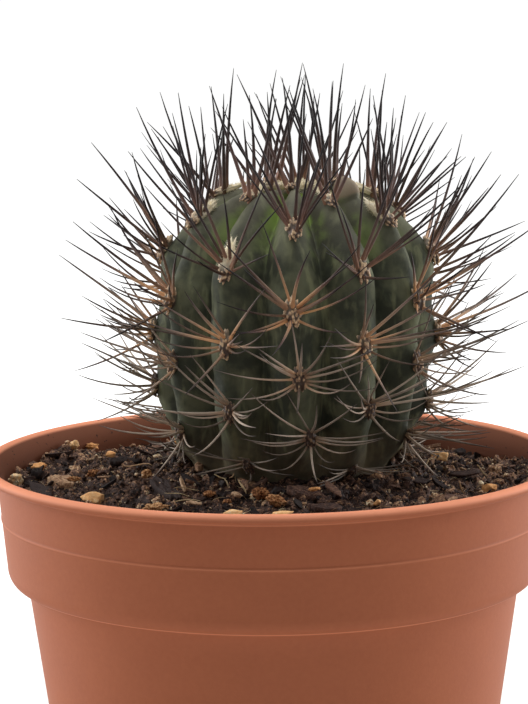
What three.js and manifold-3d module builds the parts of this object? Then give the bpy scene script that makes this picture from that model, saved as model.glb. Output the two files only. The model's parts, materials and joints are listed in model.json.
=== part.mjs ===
// A globular ribbed cactus, armed with long dark spines, in a terracotta-coloured plastic nursery pot.
// Millimetres, +Z up. The origin is the centre of the flat underside of the pot.

import * as THREE from "three";
import { mergeVertices } from "three/addons/utils/BufferGeometryUtils.js";
import Module from "manifold-3d";

const wasm = await Module();
wasm.setup();

// Driving sizes of the pot
const POT_HEIGHT = 105;
const LIP_RADIUS = 60; // outermost point of the rolled lip
const BEAD_HALF_WIDTH = 1.35;
const BEAD_HALF_HEIGHT = 1.05;
const COLLAR_TOP_RADIUS = 57.05; // tall plain band under the lip
const COLLAR_TAPER = 0.098; // radius lost for each millimetre down
const COLLAR_DEPTH = 21.4; // from the lip's top down to where the band starts to curve in
const EDGE_WIDTH = 2.2; // the band's lower edge is a quarter of an ellipse of this width
const EDGE_HEIGHT = 3.3;
const SHOULDER_DEPTH = 25.4; // where the underside of the band meets the wall
const WALL_TOP_RADIUS = 50.8;
const WALL_TAPER = 0.143;
const WALL = 1.5;
const FLOOR = 2.4;
const FOOT_ROUNDING = 1;
const POT_SIDES = 64;
const DRAIN_HOLES = 8;
const DRAIN_RADIUS = 2.6;
const DRAIN_CIRCLE = 27;
const DRAIN_SIDES = 10;

// Driving sizes of the cactus. Its heights are measured from the lip's top plane, which is height 0.
const RIBS = 12;
const BODY_X = 4; // the plant stands a little off the pot's axis
const BODY_Y = 6;
const BODY_LEAN = 1.6; // sideways drift of the axis from the soil to the crown
const LEAN_HEIGHT = 45;
const EQUATOR = 30;
const EQUATOR_RADIUS = 28.2;
const UPPER_HEIGHT = 26;
const UPPER_POWER = 2.35;
const LOWER_HEIGHT = 38;
const LOWER_POWER = 3;
const CROWN_DIP = 2;
const CROWN_DIP_RADIUS = 6;
const GROOVE_DEPTH = 5.4;
const GROOVE_POWER = 1.7;
const GROOVE_SHARE = 0.34; // most groove depth for each millimetre of distance from the crown
const RIB_TWIST = 0.0019; // radians for each millimetre down
const FIRST_RIB = -0.03; // turn of the front rib, in radians
const SOIL_LINE = -2; // height at which the stem goes into the soil
const BASE_FADE = 8; // ribs flatten over this height above the soil line
const BASE_SHARE = 0.22; // share of the groove depth that is left at the soil line
const STUB = [[18.4, -12], [11.5, -23]]; // buried tap root: radius and height
const STUB_END = -28;
const BUD_RIB = 1.7; // a small bud beside the crown: its place, its rise and its reach
const BUD_RUN = 9;
const BUD_RISE = 3;
const BUD_REACH = 2.6;
const STEM_ROWS = 20;
const ROW_SPREAD = 0.92; // below 1 the rows stand a little closer towards the soil

// Areoles: one lies on a rib at every second of these distances from the crown, alternating from rib to rib
const AREOLE_FIRST = 7.1;
const AREOLE_STEP = 8.6;
const AREOLE_SHRINK = 0.11;
const AREOLE_COUNT = 9;
const AREOLE_LENGTH = 2.9;
const AREOLE_WIDTH = 1.65;
const AREOLE_RISE = 1.2;
const AREOLE_SUNK = 0.25; // depth of its rim in the rib
const AREOLE_ROOT = 2; // depth of its hidden point
const AREOLE_SIDES = 5;
const AREOLE_SPAN = 1.5; // distance up and down the rib over which its direction is taken
const OLD_AREOLE = 0.72; // share of the full size on the lowest areoles
const CHIN_RISE = 1.1; // the rib swells round each areole
const CHIN_LENGTH = 4.2;
const CHIN_OFFSET = 1.2;
const STRAY = 0.9; // most that an areole lies off its even place

// Areoles with a measured place of their own, by rib and number: mm down the rib and mm to the right
const NUDGES = {
  "0,2": [0.3, 0.7], "0,4": [1.3, 0], "0,6": [-0.6, 1], "0,8": [-2.5, 3],
  "1,1": [0.3, -0.6], "1,3": [1.2, -0.2], "1,5": [0.5, -0.7], "1,7": [-1.1, 0.9],
  "2,2": [-1, -1.2], "2,4": [0.4, -0.6], "2,6": [-1.6, -0.8], "2,8": [0.2, 1.6],
  "3,3": [0.6, 0], "3,5": [2, 0], "3,7": [1.4, -0.8],
  "9,5": [0.9, 0.4], "9,7": [-2.4, 0.6],
  "10,4": [0.3, 0.6], "10,6": [-1.9, 1.4], "10,8": [-1.7, 0.4],
  "11,1": [-1.2, -1.9], "11,3": [1, 1], "11,5": [0.3, 1.4], "11,7": [-0.7, 1.3],
};

// Spines: turn round the areole from straight up the rib, rise above the rib's surface, in degrees,
// and length. An areole on the crown has only the first few.
const SPINES = [
  { turn: 5, rise: 68, length: 25 },
  { turn: 80, rise: 54, length: 23 },
  { turn: -82, rise: 56, length: 23 },
  { turn: 44, rise: 50, length: 21 },
  { turn: -42, rise: 52, length: 21 },
  { turn: 176, rise: 56, length: 20 },
  { turn: 100, rise: 36, length: 19 },
  { turn: -102, rise: 38, length: 19 },
  { turn: 148, rise: 36, length: 15 },
];
const CROWN_SPINES = [4, 7]; // on the youngest areole of a rib and on the next
const SPINE_RADIUS = 0.42;
const SPINE_ROOT = 2.2; // length sunk in the stem
const SPINE_SPREAD = 0.62; // how far out on the areole the flattest spines stand, as a share of its size
const GATHER = 12; // degrees by which spines gather towards the two sides of the rib
const GATHER_LEAST = 0.4; // an areole's share of it, which a draw from 0 to 1 adds to
const TURN_JITTER = 17;
const RISE_JITTER = 11;
const LENGTH_JITTER = 0.18;
const UPRIGHT = [0.9, 0.8, 0.6, 0.34, 0.14]; // pull towards the vertical, from the youngest areole down
const YOUNG_LENGTH = 0.86; // share of the full length on the two youngest areoles of a rib
const OLD_LENGTH = 0.78; // share of the full length on the lowest areoles
const SPINE_CLEARANCE = 3.2; // of spine tips above the soil
const SPINE_REACH = 58.5; // farthest that a tip stands from the pot's axis
const SPINE_TOP = 81; // highest that a tip stands above the lip
const CUT_BACK = 1.25; // length taken off a spine for each millimetre past those two

// Growing mix
const SOIL_WALL_HEIGHT = -5.6; // at the left and right
const SOIL_FALL_BACK = 0.02; // it falls by this share of the distance to the back
const SOIL_FALL_RIGHT = 0.008;
const SOIL_LOWEST = -6.8;
const SOIL_MOUND_HEIGHT = -2.4;
const MOUND_SPREAD = 16;
const HEAPS = [ // lumps of the mix pushed up against the wall
  { at: [-47, 29], rise: 2.4, reach: 6 },
  { at: [54, 9], rise: 2.4, reach: 9 },
];
const SOIL_ROUGHNESS = 1.1;
const SOIL_EDGE_SHARE = 0.3; // of the roughness, at the wall
const SOIL_STEP = 0.2; // the mix starts this much lower against the stem
const SOIL_RINGS = 11;
const SOIL_SIDES = 64;
const GAP = 0.35; // clearance between pieces that touch

const RIM_Z = POT_HEIGHT;
const TAU = 2 * Math.PI;

// Repeatable number from 0 to 1 for the whole number n
function draw(n) {
  const v = Math.sin(n * 12.9898 + 78.233) * 43758.5453;
  return v - Math.floor(v);
}

// The same, spread evenly from -1 to 1
function sway(n) {
  return 2 * draw(n) - 1;
}

function geometryOf(points, faces) {
  const geometry = new THREE.BufferGeometry();
  geometry.setAttribute("position", new THREE.Float32BufferAttribute(points.flat(), 3));
  geometry.setIndex(faces.flat());
  return geometry;
}

function solidOf(geometry) {
  const bare = geometry.clone();
  bare.deleteAttribute("normal");
  bare.deleteAttribute("uv");
  const merged = mergeVertices(bare, 1e-4);
  return new wasm.Manifold(new wasm.Mesh({
    numProp: 3,
    vertProperties: new Float32Array(merged.attributes.position.array),
    triVerts: new Uint32Array(merged.index.array),
  }));
}

function geometryFrom(solid) {
  const mesh = solid.getMesh();
  const geometry = new THREE.BufferGeometry();
  geometry.setAttribute("position", new THREE.BufferAttribute(mesh.vertProperties, 3));
  geometry.setIndex(new THREE.BufferAttribute(mesh.triVerts, 1));
  return geometry;
}

// Closed skin over rings of points, each anticlockwise from above, from the top pole to the bottom one
function skin(top, rings, bottom) {
  const sides = rings[0].length;
  const points = [top, ...rings.flat(), bottom];
  const last = points.length - 1;
  const at = (ring, side) => 1 + ring * sides + (side % sides);
  const faces = [];
  for (let side = 0; side < sides; side++) {
    faces.push([0, at(0, side), at(0, side + 1)]);
    for (let ring = 0; ring + 1 < rings.length; ring++) {
      faces.push([at(ring, side), at(ring + 1, side), at(ring + 1, side + 1)]);
      faces.push([at(ring, side), at(ring + 1, side + 1), at(ring, side + 1)]);
    }
    faces.push([last, at(rings.length - 1, side + 1), at(rings.length - 1, side)]);
  }
  return geometryOf(points, faces);
}

function wallRadius(depth) {
  return WALL_TOP_RADIUS - WALL_TAPER * (depth - SHOULDER_DEPTH);
}

function collarRadius(depth) {
  return COLLAR_TOP_RADIUS - COLLAR_TAPER * depth;
}

// Pot: a lathe profile of radius and height, outside first, from the centre of the underside
function potSolid() {
  const profile = [new THREE.Vector2(0, 0)];
  const put = (radius, depth) => profile.push(new THREE.Vector2(radius, POT_HEIGHT - depth));
  put(wallRadius(POT_HEIGHT) - FOOT_ROUNDING, POT_HEIGHT);
  put(wallRadius(POT_HEIGHT - FOOT_ROUNDING), POT_HEIGHT - FOOT_ROUNDING);
  put(wallRadius(SHOULDER_DEPTH), SHOULDER_DEPTH);
  for (const turn of [82, 55, 28, 0]) {
    const angle = turn * Math.PI / 180;
    put(collarRadius(COLLAR_DEPTH) - EDGE_WIDTH * (1 - Math.cos(angle)),
      COLLAR_DEPTH + EDGE_HEIGHT * Math.sin(angle));
  }
  put(collarRadius(2 * BEAD_HALF_HEIGHT), 2 * BEAD_HALF_HEIGHT);
  // Rolled lip
  for (const turn of [-60, 0, 45, 90, 140]) {
    const angle = turn * Math.PI / 180;
    put(LIP_RADIUS - BEAD_HALF_WIDTH * (1 - Math.cos(angle)), BEAD_HALF_HEIGHT * (1 - Math.sin(angle)));
  }
  put(collarRadius(2 * BEAD_HALF_HEIGHT) - WALL, 2 * BEAD_HALF_HEIGHT);
  put(collarRadius(COLLAR_DEPTH) - WALL, COLLAR_DEPTH);
  put(wallRadius(SHOULDER_DEPTH) - WALL, SHOULDER_DEPTH);
  put(wallRadius(POT_HEIGHT - FLOOR) - WALL, POT_HEIGHT - FLOOR);
  profile.push(new THREE.Vector2(0, FLOOR));
  const lathe = new THREE.LatheGeometry(profile, POT_SIDES);
  lathe.rotateX(Math.PI / 2);
  let pot = solidOf(lathe);
  for (let hole = 0; hole < DRAIN_HOLES; hole++) {
    const angle = TAU * (hole + 0.5) / DRAIN_HOLES;
    const drill = new THREE.CylinderGeometry(DRAIN_RADIUS, DRAIN_RADIUS, 3 * FLOOR, DRAIN_SIDES);
    drill.rotateX(Math.PI / 2);
    drill.translate(DRAIN_CIRCLE * Math.cos(angle), DRAIN_CIRCLE * Math.sin(angle), FLOOR / 2);
    pot = pot.subtract(solidOf(drill));
  }
  return pot;
}

function clamp01(x) {
  return Math.min(1, Math.max(0, x));
}

// Crest line of a rib: radius and height for the distance from the crown, as a fine polyline
function crestLine() {
  const line = [];
  const steps = 240;
  for (let i = 0; i <= steps; i++) {
    const angle = Math.PI / 2 * (1 - 2 * i / steps);
    const upper = angle >= 0;
    const power = upper ? UPPER_POWER : LOWER_POWER;
    const tall = upper ? UPPER_HEIGHT : LOWER_HEIGHT;
    const radius = EQUATOR_RADIUS * Math.pow(Math.cos(angle), 2 / power);
    const height = EQUATOR + Math.sign(angle) * tall * Math.pow(Math.abs(Math.sin(angle)), 2 / power);
    if (height < SOIL_LINE) break;
    line.push([radius, height - CROWN_DIP * Math.exp(-((radius / CROWN_DIP_RADIUS) ** 2))]);
  }
  let run = 0;
  return line.map(([radius, height], i) => {
    if (i) run += Math.hypot(radius - line[i - 1][0], height - line[i - 1][1]);
    return { run, radius, height };
  });
}

const CREST = crestLine();
const CREST_LENGTH = CREST[CREST.length - 1].run;

// Point of the crest line at a distance from the crown, with its outward direction in the radius-height plane
function crestAt(run) {
  const wanted = Math.min(Math.max(run, 0), CREST_LENGTH);
  let i = CREST.findIndex((p) => p.run >= wanted);
  if (i < 1) i = 1;
  const a = CREST[i - 1];
  const b = CREST[i];
  const t = (wanted - a.run) / (b.run - a.run);
  const length = b.run - a.run;
  return {
    radius: a.radius + t * (b.radius - a.radius),
    height: a.height + t * (b.height - a.height),
    out: [(a.height - b.height) / length, (b.radius - a.radius) / length],
  };
}

function axisAt(height) {
  const t = clamp01((height - SOIL_LINE) / LEAN_HEIGHT);
  return [BODY_X + BODY_LEAN * t, BODY_Y];
}

function ribTurn(rib, height) {
  return FIRST_RIB + TAU * rib / RIBS + RIB_TWIST * (EQUATOR - height);
}

// Distance from the crown of the areole with this number
function areoleRun(number) {
  return AREOLE_FIRST + AREOLE_STEP * number - AREOLE_SHRINK * number * number;
}

function areoleNumbers(rib) {
  const numbers = [];
  for (let number = rib % 2; number < AREOLE_COUNT; number += 2) numbers.push(number);
  return numbers;
}

// How far an areole lies off its even place: down the rib and to the right
function nudge(rib, number) {
  return NUDGES[`${rib},${number}`] ?? [STRAY * sway(31 * rib + number), STRAY * sway(17 * rib + number)];
}

// How far the rib swells outwards at a distance from the crown
function chin(rib, run) {
  let rise = 0;
  for (const number of areoleNumbers(rib)) {
    const away = (run - areoleRun(number) - nudge(rib, number)[0] - CHIN_OFFSET) / CHIN_LENGTH;
    rise += CHIN_RISE * Math.exp(-away * away) * clamp01((number + 1) / 3);
  }
  return rise;
}

// Point of the stem's surface. across runs from -1 to 1 over one rib, from groove to groove.
function stemPoint(rib, across, run) {
  const crest = crestAt(run);
  const low = clamp01((crest.height - SOIL_LINE) / BASE_FADE);
  const fade = BASE_SHARE + (1 - BASE_SHARE) * low;
  const depth = Math.min(GROOVE_DEPTH, GROOVE_SHARE * run) * fade;
  const flank = Math.pow(Math.abs(across), GROOVE_POWER);
  const aside = crest.radius * TAU / RIBS * (rib + across / 2 - BUD_RIB);
  const bud = BUD_RISE * Math.exp(-((run - BUD_RUN) ** 2 + aside ** 2) / BUD_REACH ** 2);
  const move = chin(rib, run) * low * (1 - across * across) - depth * flank + bud;
  const radius = crest.radius + crest.out[0] * move;
  const height = crest.height + crest.out[1] * move;
  const turn = ribTurn(rib + across / 2, crest.height);
  const [x, y] = axisAt(crest.height);
  return [x + radius * Math.sin(turn), y - radius * Math.cos(turn), RIM_Z + height];
}

function stemSolid() {
  const across = [-2 / 3, -1 / 3, 0, 1 / 3, 2 / 3, 1];
  const rings = [];
  for (let row = 1; row <= STEM_ROWS; row++) {
    const run = CREST_LENGTH * Math.pow(row / STEM_ROWS, ROW_SPREAD);
    const ring = [];
    for (let rib = 0; rib < RIBS; rib++) {
      for (const place of across) ring.push(stemPoint(rib, place, run));
    }
    rings.push(ring);
  }
  const sides = rings[0].length;
  for (const [radius, height] of STUB) {
    rings.push(Array.from({ length: sides }, (_, side) => {
      const turn = ribTurn(0, SOIL_LINE) + TAU * (side - 2) / sides;
      return [BODY_X + radius * Math.sin(turn), BODY_Y - radius * Math.cos(turn), RIM_Z + height];
    }));
  }
  const crown = crestAt(0);
  const [x, y] = axisAt(crown.height);
  const top = [x, y, RIM_Z + crown.height];
  return solidOf(skin(top, rings, [BODY_X, BODY_Y, RIM_Z + STUB_END]));
}

// From 1 on the young areoles to the share given for the lowest
function shrinkWithAge(number, share) {
  return 1 - (1 - share) * clamp01((number - 4) / 4);
}

// Place, size and directions of an areole: out of the rib, up the rib and sideways
function areoleFrame(rib, number) {
  const [down, right] = nudge(rib, number);
  const run = areoleRun(number) + down;
  const place = new THREE.Vector3(...stemPoint(rib, 0, run));
  const above = new THREE.Vector3(...stemPoint(rib, 0, run - AREOLE_SPAN));
  const below = new THREE.Vector3(...stemPoint(rib, 0, run + AREOLE_SPAN));
  const up = above.sub(below).normalize();
  const turn = ribTurn(rib, crestAt(run).height);
  const side = new THREE.Vector3(Math.cos(turn), Math.sin(turn), 0);
  const out = new THREE.Vector3().crossVectors(side, up).negate().normalize();
  if (out.dot(new THREE.Vector3(Math.sin(turn), -Math.cos(turn), 0.5)) < 0) out.negate();
  place.addScaledVector(side, right);
  return { place, up, side, out, size: shrinkWithAge(number, OLD_AREOLE) };
}

// Felted cushion: two low five-sided cones base to base, sunk half into the rib
function cushionSolid({ place, up, side, out, size }) {
  const points = [];
  for (let corner = 0; corner < AREOLE_SIDES; corner++) {
    const angle = TAU * corner / AREOLE_SIDES;
    points.push(place.clone()
      .addScaledVector(up, size * AREOLE_LENGTH * Math.cos(angle))
      .addScaledVector(side, size * AREOLE_WIDTH * Math.sin(angle))
      .addScaledVector(out, -AREOLE_SUNK).toArray());
  }
  points.push(place.clone().addScaledVector(out, size * AREOLE_RISE).toArray());
  points.push(place.clone().addScaledVector(out, -AREOLE_ROOT).toArray());
  const faces = [];
  for (let corner = 0; corner < AREOLE_SIDES; corner++) {
    const next = (corner + 1) % AREOLE_SIDES;
    faces.push([AREOLE_SIDES, corner, next], [AREOLE_SIDES + 1, next, corner]);
  }
  return outward(solidOf(geometryOf(points, faces)), points, faces);
}

// A solid from points and faces, turned to face outwards if its faces run the other way
function outward(solid, points, faces) {
  if (solid.volume() > 0) return solid;
  return solidOf(geometryOf(points, faces.map(([a, b, c]) => [a, c, b])));
}

// Root, tip and axis of one spine of an areole, by the rule in SPINES
function spineLine(frame, rib, number, index) {
  const { turn, rise, length } = SPINES[index];
  const seed = 1000 * rib + 50 * number + index;
  const pull = GATHER_LEAST + draw(1000 * rib + 50 * number + 0.5);
  const gather = GATHER * pull * Math.sin(2 * turn * Math.PI / 180);
  const bearing = (turn + gather + TURN_JITTER * sway(seed)) * Math.PI / 180;
  const lift = (rise + RISE_JITTER * sway(seed + 0.31)) * Math.PI / 180;
  const share = number < CROWN_SPINES.length ? YOUNG_LENGTH : shrinkWithAge(number, OLD_LENGTH);
  const long = share * length * (1 + LENGTH_JITTER * sway(seed + 0.62));
  const way = new THREE.Vector3()
    .addScaledVector(frame.up, Math.cos(lift) * Math.cos(bearing))
    .addScaledVector(frame.side, Math.cos(lift) * Math.sin(bearing))
    .addScaledVector(frame.out, Math.sin(lift));
  way.z += UPRIGHT[number] ?? 0;
  way.normalize();
  const spread = SPINE_SPREAD * frame.size * Math.cos(lift);
  const root = frame.place.clone()
    .addScaledVector(frame.up, spread * AREOLE_LENGTH * Math.cos(bearing))
    .addScaledVector(frame.side, spread * AREOLE_WIDTH * Math.sin(bearing));
  const full = root.clone().addScaledVector(way, long);
  const past = Math.max(0, Math.hypot(full.x, full.y) - SPINE_REACH, full.z - RIM_Z - SPINE_TOP);
  const tip = full.addScaledVector(way, -CUT_BACK * past);
  const ground = RIM_Z + soilHeight(tip.x, tip.y) + SOIL_ROUGHNESS + SPINE_CLEARANCE;
  if (tip.z < ground) tip.z = ground;
  return { root, tip };
}

// Three-sided needle, with its root sunk in the stem
function needleSolid({ root, tip }) {
  const way = tip.clone().sub(root).normalize();
  const helper = Math.abs(way.z) < 0.9 ? new THREE.Vector3(0, 0, 1) : new THREE.Vector3(1, 0, 0);
  const wide = new THREE.Vector3().crossVectors(way, helper).normalize();
  const high = new THREE.Vector3().crossVectors(way, wide);
  const start = root.clone().addScaledVector(way, -SPINE_ROOT);
  const points = [0, 1, 2].map((corner) => {
    const angle = TAU * corner / 3;
    return start.clone()
      .addScaledVector(wide, SPINE_RADIUS * Math.cos(angle))
      .addScaledVector(high, SPINE_RADIUS * Math.sin(angle)).toArray();
  });
  points.push(tip.toArray());
  const faces = [[0, 2, 1], [0, 1, 3], [1, 2, 3], [2, 0, 3]];
  return outward(solidOf(geometryOf(points, faces)), points, faces);
}

function cactusSolid() {
  const pieces = [stemSolid()];
  for (let rib = 0; rib < RIBS; rib++) {
    for (const number of areoleNumbers(rib)) {
      const frame = areoleFrame(rib, number);
      pieces.push(cushionSolid(frame));
      const count = CROWN_SPINES[number] ?? SPINES.length;
      for (let index = 0; index < count; index++) {
        pieces.push(needleSolid(spineLine(frame, rib, number, index)));
      }
    }
  }
  // Only the outer skin is kept, which fills any pocket that crossing needles close off
  const shells = wasm.Manifold.union(pieces).decompose();
  return shells.reduce((a, b) => (a.volume() > b.volume() ? a : b));
}

// Height of the growing mix: lowest at the back wall, mounded up round the stem, with two lumps
function soilHeight(x, y) {
  const away = Math.max(0, Math.hypot(x - BODY_X, y - BODY_Y) - crestAt(CREST_LENGTH).radius);
  const wall = SOIL_WALL_HEIGHT - SOIL_FALL_BACK * y - SOIL_FALL_RIGHT * x;
  let height = wall + (SOIL_MOUND_HEIGHT - wall) * Math.exp(-((away / MOUND_SPREAD) ** 2));
  for (const { at, rise, reach } of HEAPS) {
    height += rise * Math.exp(-((x - at[0]) ** 2 + (y - at[1]) ** 2) / reach ** 2);
  }
  return height;
}

function soilSolid(bedded) {
  const stem = crestAt(CREST_LENGTH);
  const hole = [[stem.radius, SOIL_LINE], ...STUB].map(([radius, height]) => [radius + GAP, height]);
  const topEdge = collarRadius(-SOIL_LOWEST) - WALL - GAP;
  const ring = (x, y, radius, height) => Array.from({ length: SOIL_SIDES }, (_, side) => {
    const angle = TAU * side / SOIL_SIDES;
    return [x + radius * Math.cos(angle), y + radius * Math.sin(angle), RIM_Z + height];
  });
  const rings = [
    ring(BODY_X, BODY_Y, hole[2][0], hole[2][1] - GAP),
    ring(BODY_X, BODY_Y, hole[1][0], hole[1][1]),
    ring(BODY_X, BODY_Y, hole[0][0], SOIL_LINE - GAP - SOIL_STEP),
  ];
  for (let row = 1; row <= SOIL_RINGS; row++) {
    const t = row / SOIL_RINGS;
    rings.push(Array.from({ length: SOIL_SIDES }, (_, side) => {
      const angle = TAU * side / SOIL_SIDES;
      const x = (1 - t) * (BODY_X + hole[0][0] * Math.cos(angle)) + t * topEdge * Math.cos(angle);
      const y = (1 - t) * (BODY_Y + hole[0][0] * Math.sin(angle)) + t * topEdge * Math.sin(angle);
      const rough = SOIL_ROUGHNESS * sway(200 * row + side) * (row < SOIL_RINGS ? 1 : SOIL_EDGE_SHARE);
      return [x, y, RIM_Z + soilHeight(x, y) + rough];
    }));
  }
  const inner = (depth, radius) => ring(0, 0, radius - WALL - GAP, -depth);
  rings.push(inner(COLLAR_DEPTH, collarRadius(COLLAR_DEPTH)));
  rings.push(inner(SHOULDER_DEPTH, wallRadius(SHOULDER_DEPTH)));
  rings.push(inner(POT_HEIGHT - FLOOR - GAP, wallRadius(POT_HEIGHT - FLOOR - GAP)));
  const top = [BODY_X, BODY_Y, RIM_Z + STUB_END - GAP];
  let soil = solidOf(skin(top, rings, [0, 0, FLOOR + GAP]));
  for (const piece of bedded) soil = soil.subtract(piece);
  return soil;
}

// Stones and bark on the mix: place, half sizes, turn, tilt and colour
const STONES = [
  { at: [-35.4, -23], half: [2.8, 2.1, 1.8], turn: 0.15 },
  { at: [-53, -1.5], half: [1.7, 1.6, 1.5], turn: 0.9 },
  { at: [-8.1, -40.5], half: [2.1, 1.6, 1.15], turn: 0.1 },
  { at: [1.3, -41], half: [2.6, 1.7, 1.2], turn: -0.2 },
  { at: [35.4, 14], half: [2.1, 1.7, 1.3], turn: 0.3 },
  { at: [-34.9, 28.4], half: [1.6, 1.3, 1.1], turn: 1.4 },
  { at: [20.7, -29.5], half: [0.9, 0.8, 0.8], turn: 0.7 },
  { at: [-20, 44], half: [2.7, 2.0, 1.8], turn: 2.2 },
  { at: [26, 43], half: [2.2, 1.8, 1.7], turn: 1.1 },
  { at: [44, -13], half: [1.8, 1.3, 1.1], turn: 0.4 },
];
const CHIPS = [
  { at: [-43.1, -4], half: [3.2, 2.4, 1.3], turn: 0.2, tilt: 0.2 },
  { at: [-21.5, -18], half: [9, 1.4, 1.1], turn: -1.22, tilt: 0.08 },
  { at: [7, -26], half: [4.3, 2.5, 1.1], turn: 0.1, tilt: 0.25 },
  { at: [35.3, -23.2], half: [3.7, 1, 0.7], turn: 0.45, tilt: 0.06 },
  { at: [10, -35], half: [3.6, 1.6, 0.9], turn: 0.1, tilt: 0.1 },
  { at: [8, 46], half: [4.8, 2.0, 1.0], turn: -0.3, tilt: 0.16 },
];
const STONE_ROUGHNESS = 0.13; // share of a stone's size
const CHIP_CORNERS = 7;
const CHIP_ROUGHNESS = 0.2;
const CHIP_TOP = 0.86; // size of a chip's upper face, as a share of its lower one
const STONE_SHOWS = 0.5; // height of a stone's middle above the mix, as a share of its half height
const CHIP_SHOWS = 0.55;

// A worn stone: a faceted ball with its corners moved in or out, flattened to its half sizes
function stoneGeometry({ at, half, turn }, seed, grow) {
  const ball = mergeVertices(bare(new THREE.IcosahedronGeometry(1, 1)), 1e-4);
  const spots = ball.attributes.position;
  for (let i = 0; i < spots.count; i++) {
    const size = 1 + STONE_ROUGHNESS * sway(seed + i);
    spots.setXYZ(i, spots.getX(i) * (half[0] * size + grow), spots.getY(i) * (half[1] * size + grow),
      spots.getZ(i) * (half[2] * size + grow));
  }
  ball.rotateZ(turn);
  ball.translate(at[0], at[1], RIM_Z + soilHeight(...at) + STONE_SHOWS * half[2]);
  return ball;
}

function bare(geometry) {
  geometry.deleteAttribute("normal");
  geometry.deleteAttribute("uv");
  return geometry;
}

// A bark chip: an uneven flat slab of seven corners, its upper face a little smaller
function chipGeometry({ at, half, turn, tilt }, seed, grow) {
  const ring = (height, share) => Array.from({ length: CHIP_CORNERS }, (_, corner) => {
    const angle = TAU * corner / CHIP_CORNERS;
    const size = share * (1 + CHIP_ROUGHNESS * sway(seed + corner));
    return [
      (half[0] * size + grow) * Math.cos(angle),
      (half[1] * size + grow) * Math.sin(angle),
      height + CHIP_ROUGHNESS * half[2] * sway(seed + 31 + corner),
    ];
  });
  const rings = [ring(half[2] + grow, CHIP_TOP), ring(-half[2] - grow, 1)];
  const chip = skin([0, 0, half[2] + grow], rings, [0, 0, -half[2] - grow]);
  chip.rotateY(tilt);
  chip.rotateZ(turn);
  chip.translate(at[0], at[1], RIM_Z + soilHeight(...at) + CHIP_SHOWS * half[2]);
  return chip;
}

const material = (color, roughness) => new THREE.MeshStandardMaterial({ color, roughness, metalness: 0 });
const terracottaPlastic = material(0xb5694c, 0.55);
const cactusSkin = material(0x3d4a36, 0.6);
const peat = material(0x3a2a20, 0.95);
const paleStone = material(0xb99a6b, 0.8);
const bark = material(0x4a382c, 0.9);

const group = new THREE.Group();
function place(name, geometry, finish) {
  const mesh = new THREE.Mesh(geometry, finish);
  mesh.name = name;
  group.add(mesh);
}

place("pot", geometryFrom(potSolid()), terracottaPlastic);
place("cactus", geometryFrom(cactusSolid()), cactusSkin);
const bedded = [];
STONES.forEach((stone, i) => {
  const seed = 500 + 60 * i;
  place(`stone_${i + 1}`, stoneGeometry(stone, seed, 0), paleStone);
  bedded.push(solidOf(stoneGeometry(stone, seed, GAP)));
});
CHIPS.forEach((chip, i) => {
  const seed = 1500 + 60 * i;
  place(`bark_chip_${i + 1}`, chipGeometry(chip, seed, 0), bark);
  bedded.push(solidOf(chipGeometry(chip, seed, GAP)));
});
place("soil", geometryFrom(soilSolid(bedded)), peat);

export default group;
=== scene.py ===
"""A ribbed globe cactus in a terracotta-coloured nursery pot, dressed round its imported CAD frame.

Shapes are worked out in millimetres with the top plane of the pot's lip at height 0, and are put
into the part's frame, in metres, when a mesh is made.
"""

import json
import logging
import math
from dataclasses import dataclass
from enum import Enum
from functools import cache
from typing import Any, Sequence

import bmesh
import bpy
import numpy as np
from mathutils import Matrix, Vector, noise

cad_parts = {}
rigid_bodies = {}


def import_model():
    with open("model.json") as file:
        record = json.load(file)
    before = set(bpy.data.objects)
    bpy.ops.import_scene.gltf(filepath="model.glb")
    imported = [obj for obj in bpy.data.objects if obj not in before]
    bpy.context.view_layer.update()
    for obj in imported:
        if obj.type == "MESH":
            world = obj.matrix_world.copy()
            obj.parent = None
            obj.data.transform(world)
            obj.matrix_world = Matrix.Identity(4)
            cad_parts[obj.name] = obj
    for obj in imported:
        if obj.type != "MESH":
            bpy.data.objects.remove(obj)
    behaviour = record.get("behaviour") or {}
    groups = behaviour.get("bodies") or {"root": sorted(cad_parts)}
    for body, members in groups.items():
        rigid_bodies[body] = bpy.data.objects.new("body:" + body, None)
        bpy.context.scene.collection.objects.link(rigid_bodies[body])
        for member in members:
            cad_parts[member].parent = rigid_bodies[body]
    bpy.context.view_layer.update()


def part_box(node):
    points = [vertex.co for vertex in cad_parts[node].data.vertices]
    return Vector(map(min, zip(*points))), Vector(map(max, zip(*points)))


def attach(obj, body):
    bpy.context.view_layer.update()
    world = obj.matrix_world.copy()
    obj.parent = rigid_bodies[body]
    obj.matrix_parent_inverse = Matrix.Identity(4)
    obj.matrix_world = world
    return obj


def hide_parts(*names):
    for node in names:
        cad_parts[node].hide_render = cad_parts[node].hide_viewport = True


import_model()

LOG = logging.getLogger("cactus")
MM = 0.001
LIP_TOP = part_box("pot")[1].z / MM
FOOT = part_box("pot")[0].z / MM - LIP_TOP
BODY = "root"
TAU = 2 * math.pi
GOLDEN_TURN = 2.4  # radians from one to the next where things are spread over a ball

# Faces as point numbers, a shape as its points and faces, and a tree's inputs: socket type and value
Faces = list[tuple[int, ...]]
Shape = tuple[np.ndarray, Faces]
Inputs = dict[str, tuple[str, Any]]
Number = float | np.ndarray


def draw(number: float) -> float:
    """Repeatable number from 0 to 1, the same one that the solids are placed by.

    Args:
        number: any number; each gives its own result.

    Returns:
        A value from 0 to 1.
    """
    value = math.sin(number * 12.9898 + 78.233) * 43758.5453
    return value - math.floor(value)


def sway(number: float) -> float:
    """The repeatable number spread evenly from -1 to 1."""
    return 2 * draw(number) - 1


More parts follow.
